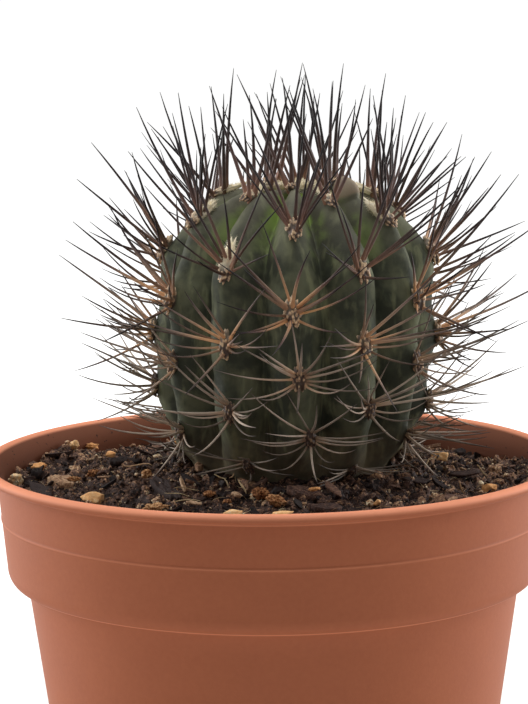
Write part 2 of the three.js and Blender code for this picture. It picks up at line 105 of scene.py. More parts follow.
def rough(points: np.ndarray, grain: float, octaves: int, seed: float) -> np.ndarray:
    """Fractal noise at points.

    Args:
        points: rows of x, y, z in mm.
        grain: size of the largest lumps, in mm.
        octaves: how many times the lumps are halved.
        seed: shifts the pattern.

    Returns:
        One value a point, mostly within -1 to 1.
    """
    shift = Vector((seed, 0.7 * seed, -seed))
    fading, halving = 0.9, 2.0
    return np.array([
        noise.fractal(Vector(p) / grain + shift, fading, halving, octaves) for p in points.tolist()
    ])


@dataclass(frozen=True)
class Relief:
    """One size of unevenness on a surface: its height and its grain in mm, its octaves and its
    seed, and whether it is folded into lumps with sharp hollows between them."""

    height: float
    grain: float
    octaves: int
    seed: float
    lumpy: bool = False

    def at(self, points: np.ndarray) -> np.ndarray:
        """Its height at rows of points."""
        values = rough(points, self.grain, self.octaves, self.seed)
        return self.height * (np.abs(values) if self.lumpy else values)


def colour(code: str) -> tuple[float, float, float, float]:
    """Linear colour of an sRGB hex code.

    Args:
        code: six hex digits after a hash.

    Returns:
        Red, green, blue and alpha for a shader socket.
    """
    parts = [int(code[i:i + 2], 16) / 255 for i in (1, 3, 5)]
    linear = [v / 12.92 if v <= 0.04045 else ((v + 0.055) / 1.055) ** 2.4 for v in parts]
    return (*linear, 1.0)


def add(tree: bpy.types.NodeTree, kind: str, settings: dict[str, Any] | None = None,
        links: dict[str | int, Any] | None = None) -> bpy.types.Node:
    """Adds a node with its settings and links.

    Args:
        tree: node tree that takes the node.
        kind: the node's type name.
        settings: properties to set; "stops" lists the positions and hex colours of a ramp.
        links: for each input, by name or number, a value or the output that feeds it.

    Returns:
        The new node.
    """
    node = tree.nodes.new(kind)
    for key, value in (settings or {}).items():
        if key == "stops":
            elements = node.color_ramp.elements
            while len(elements) < len(value):
                elements.new(1.0)
            for element, (position, code) in zip(elements, value):
                element.position = position
                element.color = colour(code)
        else:
            setattr(node, key, value)
    for key, value in (links or {}).items():
        if isinstance(value, bpy.types.NodeSocket):
            tree.links.new(value, node.inputs[key])
        else:
            node.inputs[key].default_value = value
    return node


def shown(name: str, data: bpy.types.ID) -> bpy.types.Object:
    """A new object in the scene.

    Args:
        name: the object's name.
        data: its mesh, light or camera.

    Returns:
        The object, at the origin.
    """
    thing = bpy.data.objects.new(name, data)
    bpy.context.scene.collection.objects.link(thing)
    return thing


def make(name: str, points: np.ndarray, faces: Sequence[Sequence[int]], smooth: bool = True,
         edges: Sequence[Sequence[int]] = ()) -> bpy.types.Object:
    """Makes a mesh object in the part's frame.

    Args:
        name: the piece's name.
        points: rows of x, y, z in mm, heights from the lip's top plane.
        faces: point numbers of each face.
        smooth: whether faces are shaded smooth.
        edges: loose edges, for a mesh that has no faces.

    Returns:
        The object, at the origin, in the scene.
    """
    mesh = bpy.data.meshes.new(name)
    placed = (np.asarray(points, float) + (0, 0, LIP_TOP)) * MM
    mesh.from_pydata(placed.tolist(), [tuple(e) for e in edges], [tuple(f) for f in faces])
    mesh.polygons.foreach_set("use_smooth", [smooth] * len(mesh.polygons))
    mesh.update()
    return shown(name, mesh)


def note(thing: bpy.types.Object, name: str, values: Sequence[float]) -> None:
    """Stores one number a point as a named attribute of the mesh."""
    layer = thing.data.attributes.new(name, "FLOAT", "POINT")
    layer.data.foreach_set("value", np.asarray(values, np.float32))


def skin(top: Sequence[float], rings: np.ndarray, bottom: Sequence[float]) -> Shape:
    """Closed skin over rings of points.

    Args:
        top: pole above the first ring.
        rings: array of rings, each anticlockwise from above, from the top down or, outside
            first, from the underside up.
        bottom: pole after the last ring.

    Returns:
        The points and the faces.
    """
    count, sides, _ = rings.shape
    points = np.vstack([[top], rings.reshape(-1, 3), [bottom]])
    last = len(points) - 1
    faces: Faces = []
    for side in range(sides):
        step = (side + 1) % sides
        faces.append((0, 1 + side, 1 + step))
        base = 1 + (count - 1) * sides
        faces.append((last, base + step, base + side))
        for ring in range(count - 1):
            a = 1 + ring * sides
            b = a + sides
            faces.append((a + side, b + side, b + step, a + step))
    return points, faces


def ring(x: float, y: float, radius: float, height: float, sides: int) -> np.ndarray:
    """Points of a level ring, anticlockwise from above, round x and y."""
    angles = np.arange(sides) * TAU / sides
    return np.stack([x + radius * np.cos(angles), y + radius * np.sin(angles),
                     np.full(sides, height)], 1)


def lathe(profile: Sequence[tuple[float, float]], sides: int) -> Shape:
    """Turns a profile of radius and height, from the axis to the axis, into a closed skin.

    Args:
        profile: points listed outside downwards and inside upwards, or from the top down.
        sides: steps round the axis.

    Returns:
        The points and the faces.
    """
    rings = np.array([ring(0.0, 0.0, radius, height, sides) for radius, height in profile[1:-1]])
    return skin((0, 0, profile[0][1]), rings, (0, 0, profile[-1][1]))


def joined(shapes: Sequence[Shape]) -> Shape:
    """Several shapes as one, in their order."""
    points, faces = [], []
    count = 0
    for spots, sides in shapes:
        points.append(spots)
        faces += [tuple(i + count for i in face) for face in sides]
        count += len(spots)
    return np.concatenate(points), faces


def spread_ways(count: int, cover: float, seed: float, apart: float, high_stray: float,
                turn_stray: float) -> np.ndarray:
    """Directions spread over a ball from its top down, each a golden turn on from the last.

    Args:
        count: how many.
        cover: how far down they reach, where 2 is the whole ball.
        seed: starts the draws.
        apart: how far the draws of the turns lie from those of the heights.
        high_stray: most that one strays in height.
        turn_stray: most that one strays in its turn, in radians.

    Returns:
        One row of x, y, z a direction.
    """
    ways = []
    for number in range(count):
        high = 1 - cover * (number + 0.5) / count + high_stray * sway(seed + number)
        turn = GOLDEN_TURN * number + turn_stray * sway(seed + number + apart)
        flat = math.sqrt(max(0.0, 1 - high ** 2))
        ways.append((flat * math.cos(turn), flat * math.sin(turn), high))
    return np.array(ways)


def growth_tree(name: str, inputs: Inputs) -> tuple[bpy.types.NodeTree, bpy.types.Node]:
    """Starts a geometry node tree with a geometry input and output and named inputs.

    Args:
        name: the tree's name.
        inputs: for each input, its socket type and its value.

    Returns:
        The tree and its input node.
    """
    tree = bpy.data.node_groups.new(name, "GeometryNodeTree")
    tree.interface.new_socket("Geometry", in_out="INPUT", socket_type="NodeSocketGeometry")
    tree.interface.new_socket("Geometry", in_out="OUTPUT", socket_type="NodeSocketGeometry")
    for label, (kind, _) in inputs.items():
        tree.interface.new_socket(label, in_out="INPUT", socket_type=kind)
    return tree, add(tree, "NodeGroupInput")


def bake(base: bpy.types.Object, tree: bpy.types.NodeTree, inputs: Inputs, name: str
         ) -> bpy.types.Object:
    """Runs a geometry node tree on an object and keeps the result as a plain mesh.

    Args:
        base: object that carries the tree; it is removed.
        tree: tree to run.
        inputs: the values of its named inputs.
        name: name of the new piece.

    Returns:
        The new piece.
    """
    modifier = base.modifiers.new(tree.name, "NODES")
    modifier.node_group = tree
    for item in tree.interface.items_tree:
        if item.in_out == "INPUT" and item.name in inputs:
            modifier[item.identifier] = inputs[item.name][1]
    seen = base.evaluated_get(bpy.context.evaluated_depsgraph_get())
    mesh = bpy.data.meshes.new_from_object(seen)
    mesh.name = name
    base.modifiers.remove(modifier)
    bpy.data.objects.remove(base)
    return shown(name, mesh)


def dress(piece: bpy.types.Object, material: bpy.types.Material, slot: str, *nodes: str) -> None:
    """Gives a piece its material and body, and hides the CAD nodes that it stands for."""
    piece.data.materials.clear()
    piece.data.materials.append(material)
    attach(piece, BODY)
    if nodes:
        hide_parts(*nodes)
    LOG.info("%s: %d faces", piece.name, len(piece.data.polygons))


def shader(name: str) -> tuple[bpy.types.Material, bpy.types.NodeTree]:
    """A new node material, emptied.

    Args:
        name: the material's name.

    Returns:
        The material and its node tree.
    """
    material = bpy.data.materials.new(name)
    material.use_nodes = True
    material.node_tree.nodes.clear()
    return material, material.node_tree


@dataclass(frozen=True)
class MouldedPolypropylene:
    """Injection-moulded polypropylene filled with red-brown pigment.

    It looks matte, slightly cloudy and finely mottled. Its mould lines and the top of its lip are
    paler as painted highlights, and its inside is darker below the rim as painted shade, with a coat
    and a spatter of dried peat where the mix has touched it.
    """

    deep: str = "#a65c3d"
    warm: str = "#bc6e4b"
    # Painted highlight colour of the lip's top and of the thin lines round the collar
    pale: str = "#f7a07a"
    # Colour of the inside's painted shade, mixed with a coat of dried peat
    shade_and_peat_film: str = "#482716"
    dust: str = "#35231b"
    cloud_mm: float = 14.0
    mottle_mm: float = 1.0
    mottle_share: float = 0.45
    speck_mm: float = 1.5
    speck_gain: float = 0.24
    film_share: float = 0.95
    grain_mm: float = 0.5
    grain_depth_mm: float = 0.06
    roughness: float = 0.6
    soiled_roughness: float = 0.25

    def build(self) -> bpy.types.Material:
        """Makes the material."""
        material, tree = shader("moulded_polypropylene")
        place = add(tree, "ShaderNodeTexCoord").outputs["Object"]
        edge, soiled = (
            add(tree, "ShaderNodeAttribute", {"attribute_name": name}).outputs["Fac"]
            for name in ("edge", "soiled"))
        cloud, mottle, specks = (
            add(tree, "ShaderNodeTexNoise", links={
                "Vector": place, "Scale": 1 / (size * MM), "Detail": 3.0}).outputs[0]
            for size in (self.cloud_mm, self.mottle_mm, self.speck_mm))
        shade = add(tree, "ShaderNodeMix", links={0: self.mottle_share, 2: cloud, 3: mottle})
        # Painted shade with a coat of peat, over the inside below the rim
        shade_and_peat_share = add(tree, "ShaderNodeMath", {"operation": "MULTIPLY"}, {
            0: soiled, 1: self.film_share})
        level = add(tree, "ShaderNodeMath", {"operation": "MULTIPLY_ADD"}, {
            0: soiled, 1: self.speck_gain, 2: specks})
        spatter = add(tree, "ShaderNodeMapRange", {"interpolation_type": "SMOOTHSTEP"}, {
            "Value": level.outputs[0], "From Min": 0.87, "From Max": 0.92})
        paint = colour(self.deep)
        # Layers over the mottled tone: painted highlights on the lip and the collar lines, painted
        # shade mixed with a coat of peat inside, and peat specks
        for share, code in ((shade.outputs[0], self.warm), (edge, self.pale),
                            (shade_and_peat_share.outputs[0], self.shade_and_peat_film), (spatter.outputs[0], self.dust)):
            paint = add(tree, "ShaderNodeMix", {"data_type": "RGBA"}, {
                0: share, 6: paint, 7: colour(code)}).outputs[2]
        grain = add(tree, "ShaderNodeTexNoise", links={
            "Vector": place, "Scale": 1 / (self.grain_mm * MM), "Detail": 1.0})
        bump = add(tree, "ShaderNodeBump", links={
            "Strength": 0.3, "Distance": self.grain_depth_mm * MM, "Height": grain.outputs[0]})
        clean = add(tree, "ShaderNodeMapRange", links={
            "Value": cloud, "To Min": self.roughness - 0.05, "To Max": self.roughness + 0.07})
        matte = add(tree, "ShaderNodeMath", {"operation": "MULTIPLY_ADD"}, {
            0: soiled, 1: self.soiled_roughness, 2: clean.outputs[0]})
        surface = add(tree, "ShaderNodeBsdfPrincipled", links={
            "Base Color": paint, "Roughness": matte.outputs[0], "IOR": 1.49,
            "Specular IOR Level": 0.25, "Normal": bump.outputs[0]})
        add(tree, "ShaderNodeOutputMaterial", links={"Surface": surface.outputs[0]})
        return material


@dataclass(frozen=True)
class CactusSkin:
    """Waxy plant skin.

    It looks dull dark green on the ribs, with paler olive streaks down the flanks and the grooves,
    a grey wax bloom round the crown that also stands in as painted sheen, yellow-green new growth
    round the crown, a bare bud and brownish old skin at the soil.
    """

    dark: str = "#3f4338"
    mid: str = "#676a54"
    olive: str = "#9a9e78"
    # Grey of the young skin's wax bloom, also standing in as painted sheen on the crown
    wax_and_sheen: str = "#8b8775"
    fresh: str = "#9dba5c"
    corky: str = "#8c7a63"
    bare: str = "#a39480"
    streak_mm: float = 2.2
    streak_stretch: float = 0.28
    rib_streaks: float = 0.6
    groove_streaks: float = 0.4
    patch_mm: float = 6.0
    wax_and_sheen_share: float = 0.64
    pore_mm: float = 0.45
    pore_depth_mm: float = 0.12

    def build(self) -> bpy.types.Material:
        """Makes the material."""
        material, tree = shader("waxy_cactus_skin")
        place = add(tree, "ShaderNodeTexCoord").outputs["Object"]
        groove, young, old, bud = (
            add(tree, "ShaderNodeAttribute", {"attribute_name": name}).outputs["Fac"]
            for name in ("groove", "young", "old", "bud"))
        upright = add(tree, "ShaderNodeMapping", links={
            "Vector": place, "Scale": (1.0, 1.0, self.streak_stretch)})
        streak = add(tree, "ShaderNodeTexNoise", links={
            "Vector": upright.outputs[0], "Scale": 1 / (self.streak_mm * MM), "Detail": 4.0,
            "Distortion": 0.25}).outputs[0]
        patch = add(tree, "ShaderNodeTexNoise", links={
            "Vector": place, "Scale": 1 / (self.patch_mm * MM), "Detail": 4.0}).outputs[0]
        patched = add(tree, "ShaderNodeMapRange", {"interpolation_type": "SMOOTHSTEP"}, {
            "Value": patch, "From Min": 0.38, "From Max": 0.66})
        line = add(tree, "ShaderNodeMapRange", {"interpolation_type": "SMOOTHSTEP"}, {
            "Value": streak, "From Min": 0.5, "From Max": 0.75, "To Max": 0.6})
        streaky = add(tree, "ShaderNodeMath", {"operation": "MULTIPLY_ADD"}, {
            0: groove, 1: self.groove_streaks, 2: self.rib_streaks})
        streaked = add(tree, "ShaderNodeMath", {"operation": "MULTIPLY"}, {
            0: line.outputs[0], 1: streaky.outputs[0]})
        # Wax bloom with painted sheen over the young skin round the crown
        wax_and_sheen_mix = add(tree, "ShaderNodeMath", {"operation": "MULTIPLY"}, {0: young, 1: self.wax_and_sheen_share})
        flank = add(tree, "ShaderNodeMapRange", {"interpolation_type": "SMOOTHSTEP"}, {
            "Value": groove, "From Min": 0.38, "From Max": 0.85, "To Max": young})
        growing = add(tree, "ShaderNodeMapRange", {"interpolation_type": "SMOOTHSTEP"}, {
            "Value": patch, "From Min": 0.36, "From Max": 0.56, "To Max": flank.outputs[0]})
        aged = add(tree, "ShaderNodeMath", {"operation": "MULTIPLY"}, {0: old, 1: streak})
        budding = add(tree, "ShaderNodeMapRange", {"interpolation_type": "SMOOTHSTEP"}, {
            "Value": bud, "From Min": 0.15, "From Max": 0.5})
        paint = colour(self.dark)
        for share, code in ((patched, self.mid), (streaked, self.olive), (wax_and_sheen_mix, self.wax_and_sheen),
                            (growing, self.fresh), (aged, self.corky), (budding, self.bare)):
            paint = add(tree, "ShaderNodeMix", {"data_type": "RGBA"}, {
                0: share.outputs[0], 6: paint, 7: colour(code)}).outputs[2]
        pores = add(tree, "ShaderNodeTexNoise", links={
            "Vector": place, "Scale": 1 / (self.pore_mm * MM), "Detail": 2.0})
        bump = add(tree, "ShaderNodeBump", links={
            "Strength": 0.35, "Distance": self.pore_depth_mm * MM, "Height": pores.outputs[0]})
        gloss = add(tree, "ShaderNodeMapRange", links={
            "Value": patch, "To Min": 0.55, "To Max": 0.78})
        surface = add(tree, "ShaderNodeBsdfPrincipled", links={
            "Base Color": paint, "Roughness": gloss.outputs[0], "IOR": 1.42,
            "Specular IOR Level": 0.22, "Normal": bump.outputs[0]})
        add(tree, "ShaderNodeOutputMaterial", links={"Surface": surface.outputs[0]})
        return material


@dataclass(frozen=True)
class SpineHorn:
    """Horny spines, slightly polished.

    They look brown with dark tips while young, pale or amber at the root on grown areoles, and
    bleached to a grey-tan on the oldest. Each spine has a depth of tone of its own, lowered on the
    lowest areoles as painted shade.
    """

    young_root: str = "#997260"
    young: str = "#6a524b"
    young_dark: str = "#2a2022"
    young_tip: str = "#100b0c"
    grown_root: str = "#cfa280"
    grown: str = "#a38772"
    grown_tip: str = "#1e1616"
    amber: str = "#dca468"
    aged_root: str = "#b89b7e"
    aged: str = "#b9a999"
    aged_tip: str = "#5a4f4c"
    mottle_mm: float = 1.6
    mottle_share: float = 0.5
    deepest: float = 0.22

    def build(self) -> bpy.types.Material:
        """Makes the material."""
        material, tree = shader("spine_horn")
        place = add(tree, "ShaderNodeTexCoord").outputs["Object"]
        along, age, tone = (
            add(tree, "ShaderNodeAttribute", {"attribute_name": name}).outputs["Fac"]
            for name in ("along", "age", "tone"))
        ramps = (
            ((0.05, self.young_root), (0.25, self.young), (0.62, self.young_dark),
             (1.0, self.young_tip)),
            ((0.1, self.grown_root), (0.36, self.grown), (0.58, self.young),
             (0.8, self.young_dark), (1.0, self.grown_tip)),
            ((0.05, self.aged_root), (0.25, self.aged), (0.62, self.aged), (1.0, self.aged_tip)),
        )
        young, grown, aged = (
            add(tree, "ShaderNodeValToRGB", {"stops": stops}, {0: along}).outputs[0]
            for stops in ramps)
        palest = add(tree, "ShaderNodeMapRange", {"interpolation_type": "SMOOTHSTEP"}, {
            "Value": tone, "From Min": 0.5, "From Max": 0.9, "To Max": 0.65})
        rooted = add(tree, "ShaderNodeMapRange", {"interpolation_type": "SMOOTHSTEP"}, {
            "Value": along, "From Min": 0.2, "From Max": 0.6, "To Min": palest.outputs[0],
            "To Max": 0.0})
        golden = add(tree, "ShaderNodeMix", {"data_type": "RGBA"}, {
            0: rooted.outputs[0], 6: grown, 7: colour(self.amber)})
        ripening = add(tree, "ShaderNodeMapRange", {"interpolation_type": "SMOOTHSTEP"}, {
            "Value": age, "From Min": 0.34, "From Max": 0.66})
        fading = add(tree, "ShaderNodeMapRange", {"interpolation_type": "SMOOTHSTEP"}, {
            "Value": age, "From Min": 0.56, "From Max": 1.06})
        paint = young
        for share, older in ((ripening, golden.outputs[2]), (fading, aged)):
            paint = add(tree, "ShaderNodeMix", {"data_type": "RGBA"}, {
                0: share.outputs[0], 6: paint, 7: older}).outputs[2]
        mottle = add(tree, "ShaderNodeTexNoise", links={
            "Vector": place, "Scale": 1 / (self.mottle_mm * MM), "Detail": 2.0})
        depth = add(tree, "ShaderNodeMath", {"operation": "ADD"}, {0: tone, 1: self.deepest})
        light = add(tree, "ShaderNodeMath", {"operation": "MULTIPLY_ADD"}, {
            0: mottle.outputs[0], 1: self.mottle_share, 2: depth.outputs[0]})
        toned = add(tree, "ShaderNodeVectorMath", {"operation": "SCALE"}, {
            0: paint, "Scale": light.outputs[0]})
        surface = add(tree, "ShaderNodeBsdfPrincipled", links={
            "Base Color": toned.outputs[0], "Roughness": 0.45, "IOR": 1.55,
            "Specular IOR Level": 0.25})
        add(tree, "ShaderNodeOutputMaterial", links={"Surface": surface.outputs[0]})
        return material


@dataclass(frozen=True)
class AreoleFelt:
    """Old felt packed between the knobs at the spines' feet.

    It looks dark brown in the chinks and pinkish tan on the knobs, patched with pale gold that is
    partly their own colour and partly painted highlight, with cream wool on the new areoles.
    """

    chink: str = "#4d3a2f"
    knob: str = "#99735e"
    # Pale gold of the knobs, partly their own colour and partly painted highlight
    gold_and_glint: str = "#f6d3a4"
    cream: str = "#fff3d4"
    tuft_mm: float = 0.5

    def build(self) -> bpy.types.Material:
        """Makes the material."""
        material, tree = shader("areole_felt")
        place = add(tree, "ShaderNodeTexCoord").outputs["Object"]
        knob, wool = (
            add(tree, "ShaderNodeAttribute", {"attribute_name": name}).outputs["Fac"]
            for name in ("knob", "wool"))
        tuft = add(tree, "ShaderNodeTexNoise", links={
            "Vector": place, "Scale": 1 / (self.tuft_mm * MM), "Detail": 3.0})
        patchy = add(tree, "ShaderNodeMapRange", links={
            "Value": tuft.outputs[0], "From Min": 0.35, "From Max": 0.65})
        # Knobs patched with pale gold, partly painted highlight
        tan = add(tree, "ShaderNodeMix", {"data_type": "RGBA"}, {
            0: patchy.outputs[0], 6: colour(self.knob), 7: colour(self.gold_and_glint)})
        raised = add(tree, "ShaderNodeMapRange", {"interpolation_type": "SMOOTHSTEP"}, {
            "Value": knob, "From Min": 0.25, "From Max": 0.7})
        cluster = add(tree, "ShaderNodeMix", {"data_type": "RGBA"}, {
            0: raised.outputs[0], 6: colour(self.chink), 7: tan.outputs[2]})
        felt = add(tree, "ShaderNodeMix", {"data_type": "RGBA"}, {
            0: wool, 6: cluster.outputs[2], 7: colour(self.cream)})
        surface = add(tree, "ShaderNodeBsdfPrincipled", links={
            "Base Color": felt.outputs[2], "Roughness": 0.5, "IOR": 1.5, "Sheen Weight": 0.15})
        add(tree, "ShaderNodeOutputMaterial", links={"Surface": surface.outputs[0]})
        return material


@dataclass(frozen=True)
class Litter:
    """Loose organic litter, such as peat, bark or coir.

    Every crumb takes its own tone from a ramp of browns by its tint, broken up by a grain that is
    finer than the crumb.
    """

    name: str
    tones: tuple[tuple[float, str], ...]
    grain_mm: float = 0.7
    stretch: float = 1.0
    roughness: float = 0.85
    relief_mm: float = 0.2
    contrast: float = 0.45
    shine: float = 0.2

    @cache
    def build(self) -> bpy.types.Material:
        """Makes the material, once."""
        material, tree = shader(self.name)
        place = add(tree, "ShaderNodeTexCoord").outputs["Object"]
        tint = add(tree, "ShaderNodeAttribute", {"attribute_name": "tint"}).outputs["Fac"]
        laid = add(tree, "ShaderNodeMapping", links={
            "Vector": place, "Scale": (1.0, self.stretch, 1.0)})
        grain = add(tree, "ShaderNodeTexNoise", links={
            "Vector": laid.outputs[0], "Scale": 1 / (self.grain_mm * MM), "Detail": 5.0,
            "Roughness": 0.65}).outputs[0]
        centred = add(tree, "ShaderNodeMath", {"operation": "SUBTRACT"}, {0: grain, 1: 0.5})
        level = add(tree, "ShaderNodeMath", {"operation": "MULTIPLY_ADD"}, {
            0: centred.outputs[0], 1: self.contrast, 2: tint})
        tone = add(tree, "ShaderNodeValToRGB", {"stops": self.tones}, {0: level.outputs[0]})
        bump = add(tree, "ShaderNodeBump", links={
            "Strength": 0.7, "Distance": self.relief_mm * MM, "Height": grain})
        surface = add(tree, "ShaderNodeBsdfPrincipled", links={
            "Base Color": tone.outputs[0], "Roughness": self.roughness, "IOR": 1.45,
            "Specular IOR Level": self.shine, "Normal": bump.outputs[0]})
        add(tree, "ShaderNodeOutputMaterial", links={"Surface": surface.outputs[0]})
        return material


# Damp sphagnum peat: nearly black to rusty and straw-coloured, with wet glints; on the mix's top the
# dark tones fill the hollows as painted shade and the pale ones the rises as painted highlight
PEAT = Litter("damp_peat", (
    (0.0, "#201311"), (0.34, "#432d25"), (0.52, "#694d3e"), (0.7, "#926d55"), (0.86, "#c5966a"),
    (1.0, "#eddab8")), grain_mm=0.55, roughness=0.6, relief_mm=0.45, contrast=1.9, shine=0.3)
# Decayed fibre: rusty orange tufts that show where the peat has dried
RUST = Litter("rusty_fibre", (
    (0.0, "#35211a"), (0.35, "#774b31"), (0.65, "#b97f50"), (1.0, "#eec493")),
    grain_mm=0.4, roughness=0.8, relief_mm=0.5, contrast=2.4)
# Composted pine bark: dark plates with a grey-brown weathered face and a fibrous grain
BARK = Litter("composted_pine_bark", (
    (0.0, "#1b1110"), (0.4, "#432f29"), (0.66, "#7d5d4d"), (0.88, "#b28a6a"), (1.0, "#ddba96")),
    grain_mm=0.8, stretch=2.6, roughness=0.7, relief_mm=0.4, contrast=1.2, shine=0.3)
# Coir and rootlets: straw to grey-brown strands, dull and dry
COIR = Litter("coir_fibre", (
    (0.0, "#2c1d16"), (0.45, "#6a4f3b"), (0.8, "#b08d68"), (1.0, "#e6d2a6")),
    grain_mm=1.5, roughness=0.8, relief_mm=0.05)
# River grit: ochre and cream quartz stones, dusty, with darker pits
GRIT = Litter("river_grit", (
    (0.0, "#7a4620"), (0.25, "#c4844a"), (0.55, "#f4b374"), (0.8, "#ffcc90"), (1.0, "#fff0cf")),
    grain_mm=0.8, roughness=0.7, relief_mm=0.5, contrast=1.1, shine=0.3)


@dataclass(frozen=True)
class PotForm:
    """Nursery pot: rolled lip, tall collar and tapering wall, with drain holes in the floor.

    Depths are measured from the lip's top. Of a pair, the first number is a depth or an offset
    down the collar, and the second is a rise over its surface or, for the lines of painted highlight,
    how pale the highlight is.
    """

    lip_radius: float = 60.0
    bead_half_width: float = 1.35
    bead_half_height: float = 1.05
    neck: tuple[tuple[float, float], ...] = (
        (0.0, 0.35), (0.12, 0.08), (0.3, 0.0), (0.42, 0.1), (0.54, 0.0), (0.8, 0.0), (1.6, 0.0),
        (4.0, 0.0))
    collar_top: float = 57.05
    collar_taper: float = 0.098
    collar_depth: float = 21.4
    seam_depth: float = 11.4
    seam: tuple[tuple[float, float], ...] = (
        (-2.0, 0.0), (-0.6, 0.0), (-0.3, 0.0), (-0.12, 0.14), (0.12, 0.14), (0.3, 0.0), (0.6, 0.0),
        (2.0, 0.0), (5.0, 0.0), (8.0, 0.0))
    edge_width: float = 2.2
    edge_height: float = 3.3
    edge_turn: float = 80.0
    hem: tuple[tuple[float, float], ...] = ((0.1, 0.12), (0.18, 0.35))
    shoulder_depth: float = 25.4
    shoulder_fillet: float = 0.3
    wall_top: float = 50.8
    wall_taper: float = 0.143
    wall: float = 1.5
    floor: float = 2.4
    floor_rings: tuple[float, ...] = (12.0, 20.0, 34.0)
    corner: float = 1.0
    foot_rounding: float = 1.0
    sides: int = 288
    drain_holes: int = 8
    drain_radius: float = 2.6
    drain_circle: float = 27.0
    drain_sides: int = 32
    crease: float = 50.0
    # Depths and strengths of the painted highlights along thin lines of the collar, where their edges
    # would catch the light
    highlight_lines: tuple[tuple[float, float], ...] = ((2.52, 0.3), (11.4, 0.25), (24.65, 0.45))
    highlight_half_width: float = 0.16
    # The lip's top is paled as a painted highlight, down to this depth and fading over the next
    lip_highlight: float = 0.93
    lip_highlight_depth: float = 1.25
    lip_highlight_fade: float = 0.75
    outside_gap: float = 1.0
    # The inside is darkened as painted shade with a coat of dried peat: by this much, from this far
    # below the lip's top, fully after the next stretch, and down to this depth
    film_share: float = 0.84
    film_start: float = 0.3
    film_fade: float = 0.4
    film_depth: float = 12.0
    brim_depth: float = 2.2
    brim_gap: float = 0.2
    lining_gap: float = 0.4

    def collar(self, depth: Number) -> Number:
        """Outer radius of the collar at a depth."""
        return self.collar_top - self.collar_taper * depth

    def taper(self, depth: Number) -> Number:
        """Outer radius of the wall at a depth."""
        return self.wall_top - self.wall_taper * (depth - self.shoulder_depth)

    def inside(self, height: Number) -> Number:
        """Inner radius of the collar at a height."""
        return self.collar(-height) - self.wall

    def inner_line(self) -> list[tuple[float, float]]:
        """Radius and height from the middle of the floor, up the inside, to the lip."""
        depth = -FOOT - self.floor
        foot = self.taper(depth) - self.wall
        line = [(r, -depth) for r in (0.0, *self.floor_rings, foot - self.corner)]
        line.append((foot, -depth + self.corner))
        for share in np.linspace(0.1, 1.0, 8):
            higher = depth + (self.shoulder_depth - depth) * share
            line.append((self.taper(higher) - self.wall, -higher))
        for higher in np.linspace(self.collar_depth, 2 * self.bead_half_height + 0.4, 8):
            line.append((self.collar(higher) - self.wall, -higher))
        return line

    def outer_line(self) -> list[tuple[float, float]]:
        """Radius and height from the lip, down the outside, to the middle of the underside."""
        line = []
        for angle in np.radians(np.linspace(165, -75, 22)):
            line.append((self.lip_radius - self.bead_half_width * (1 - math.cos(angle)),
                         -self.bead_half_height * (1 - math.sin(angle))))
        for start, rises in ((2 * self.bead_half_height, self.neck), (self.seam_depth, self.seam)):
            for offset, rise in rises:
                line.append((self.collar(start + offset) + rise, -start - offset))
        middle = self.collar(self.collar_depth) - self.edge_width
        for angle in np.radians(np.linspace(0, self.edge_turn, 12)):
            line.append((middle + self.edge_width * math.cos(angle),
                         -self.collar_depth - self.edge_height * math.sin(angle)))
        tip = middle + self.edge_width * math.cos(math.radians(self.edge_turn))
        for lower, inwards in self.hem:
            line.append((tip - inwards, -self.collar_depth - self.edge_height - lower))
        fillet = self.shoulder_fillet
        line.append((self.taper(self.shoulder_depth) + fillet, -self.shoulder_depth + 0.1))
        line.append((self.taper(self.shoulder_depth + fillet), -self.shoulder_depth - fillet))
        deep = -FOOT
        for share in np.linspace(0.06, 1.0, 10):
            depth = self.shoulder_depth + (deep - self.foot_rounding - self.shoulder_depth) * share
            line.append((self.taper(depth), -depth))
        foot = self.taper(deep - self.foot_rounding)
        for angle in np.radians((30, 60, 90)):
            line.append((foot - self.foot_rounding * (1 - math.cos(angle)),
                         -deep + self.foot_rounding * (1 - math.sin(angle))))
        return line + [(r, -deep) for r in (*reversed(self.floor_rings), 0.0)]

    def drain(self, pot: bpy.types.Object) -> None:
        """Drills the drain holes through the floor."""
        for hole in range(self.drain_holes):
            angle = TAU * (hole + 0.5) / self.drain_holes
            drill = bmesh.new()
            bmesh.ops.create_cone(
                drill, cap_ends=True, segments=self.drain_sides, radius1=self.drain_radius * MM,
                radius2=self.drain_radius * MM, depth=3 * self.floor * MM,
                matrix=Matrix.Translation((self.drain_circle * math.cos(angle) * MM,
                                           self.drain_circle * math.sin(angle) * MM,
                                           (LIP_TOP + FOOT + self.floor / 2) * MM)))
            mesh = bpy.data.meshes.new("drill")
            drill.to_mesh(mesh)
            drill.free()
            tool = shown("drill", mesh)
            cut = pot.modifiers.new("drain", "BOOLEAN")
            cut.operation = "DIFFERENCE"
            cut.object = tool
            cut.solver = "EXACT"
            seen = pot.evaluated_get(bpy.context.evaluated_depsgraph_get())
            drilled = bpy.data.meshes.new_from_object(seen)
            pot.modifiers.clear()
            pot.data = drilled
            bpy.data.objects.remove(tool)

    def mark(self, pot: bpy.types.Object) -> None:
        """Notes where the inside is darkened as painted shade with a coat of dried peat, and which
        lines of the outside, with the lip's top, are paled as painted highlights.
        """
        spots = np.array([v.co for v in pot.data.vertices]) / MM
        radius = np.hypot(spots[:, 0], spots[:, 1])
        height = spots[:, 2] - LIP_TOP
        brim = self.lip_radius - self.bead_half_width - self.brim_gap
        wall = self.inside(height) + self.lining_gap
        lining = radius < np.where(height > -self.brim_depth, brim, wall)
        # Painted shade with a coat of dried peat on the inside, from just below the rim down
        shade_and_peat_film = self.film_share * np.clip(-(height + self.film_start) / self.film_fade, 0, 1)
        note(pot, "soiled", lining * shade_and_peat_film * (height > -self.film_depth))
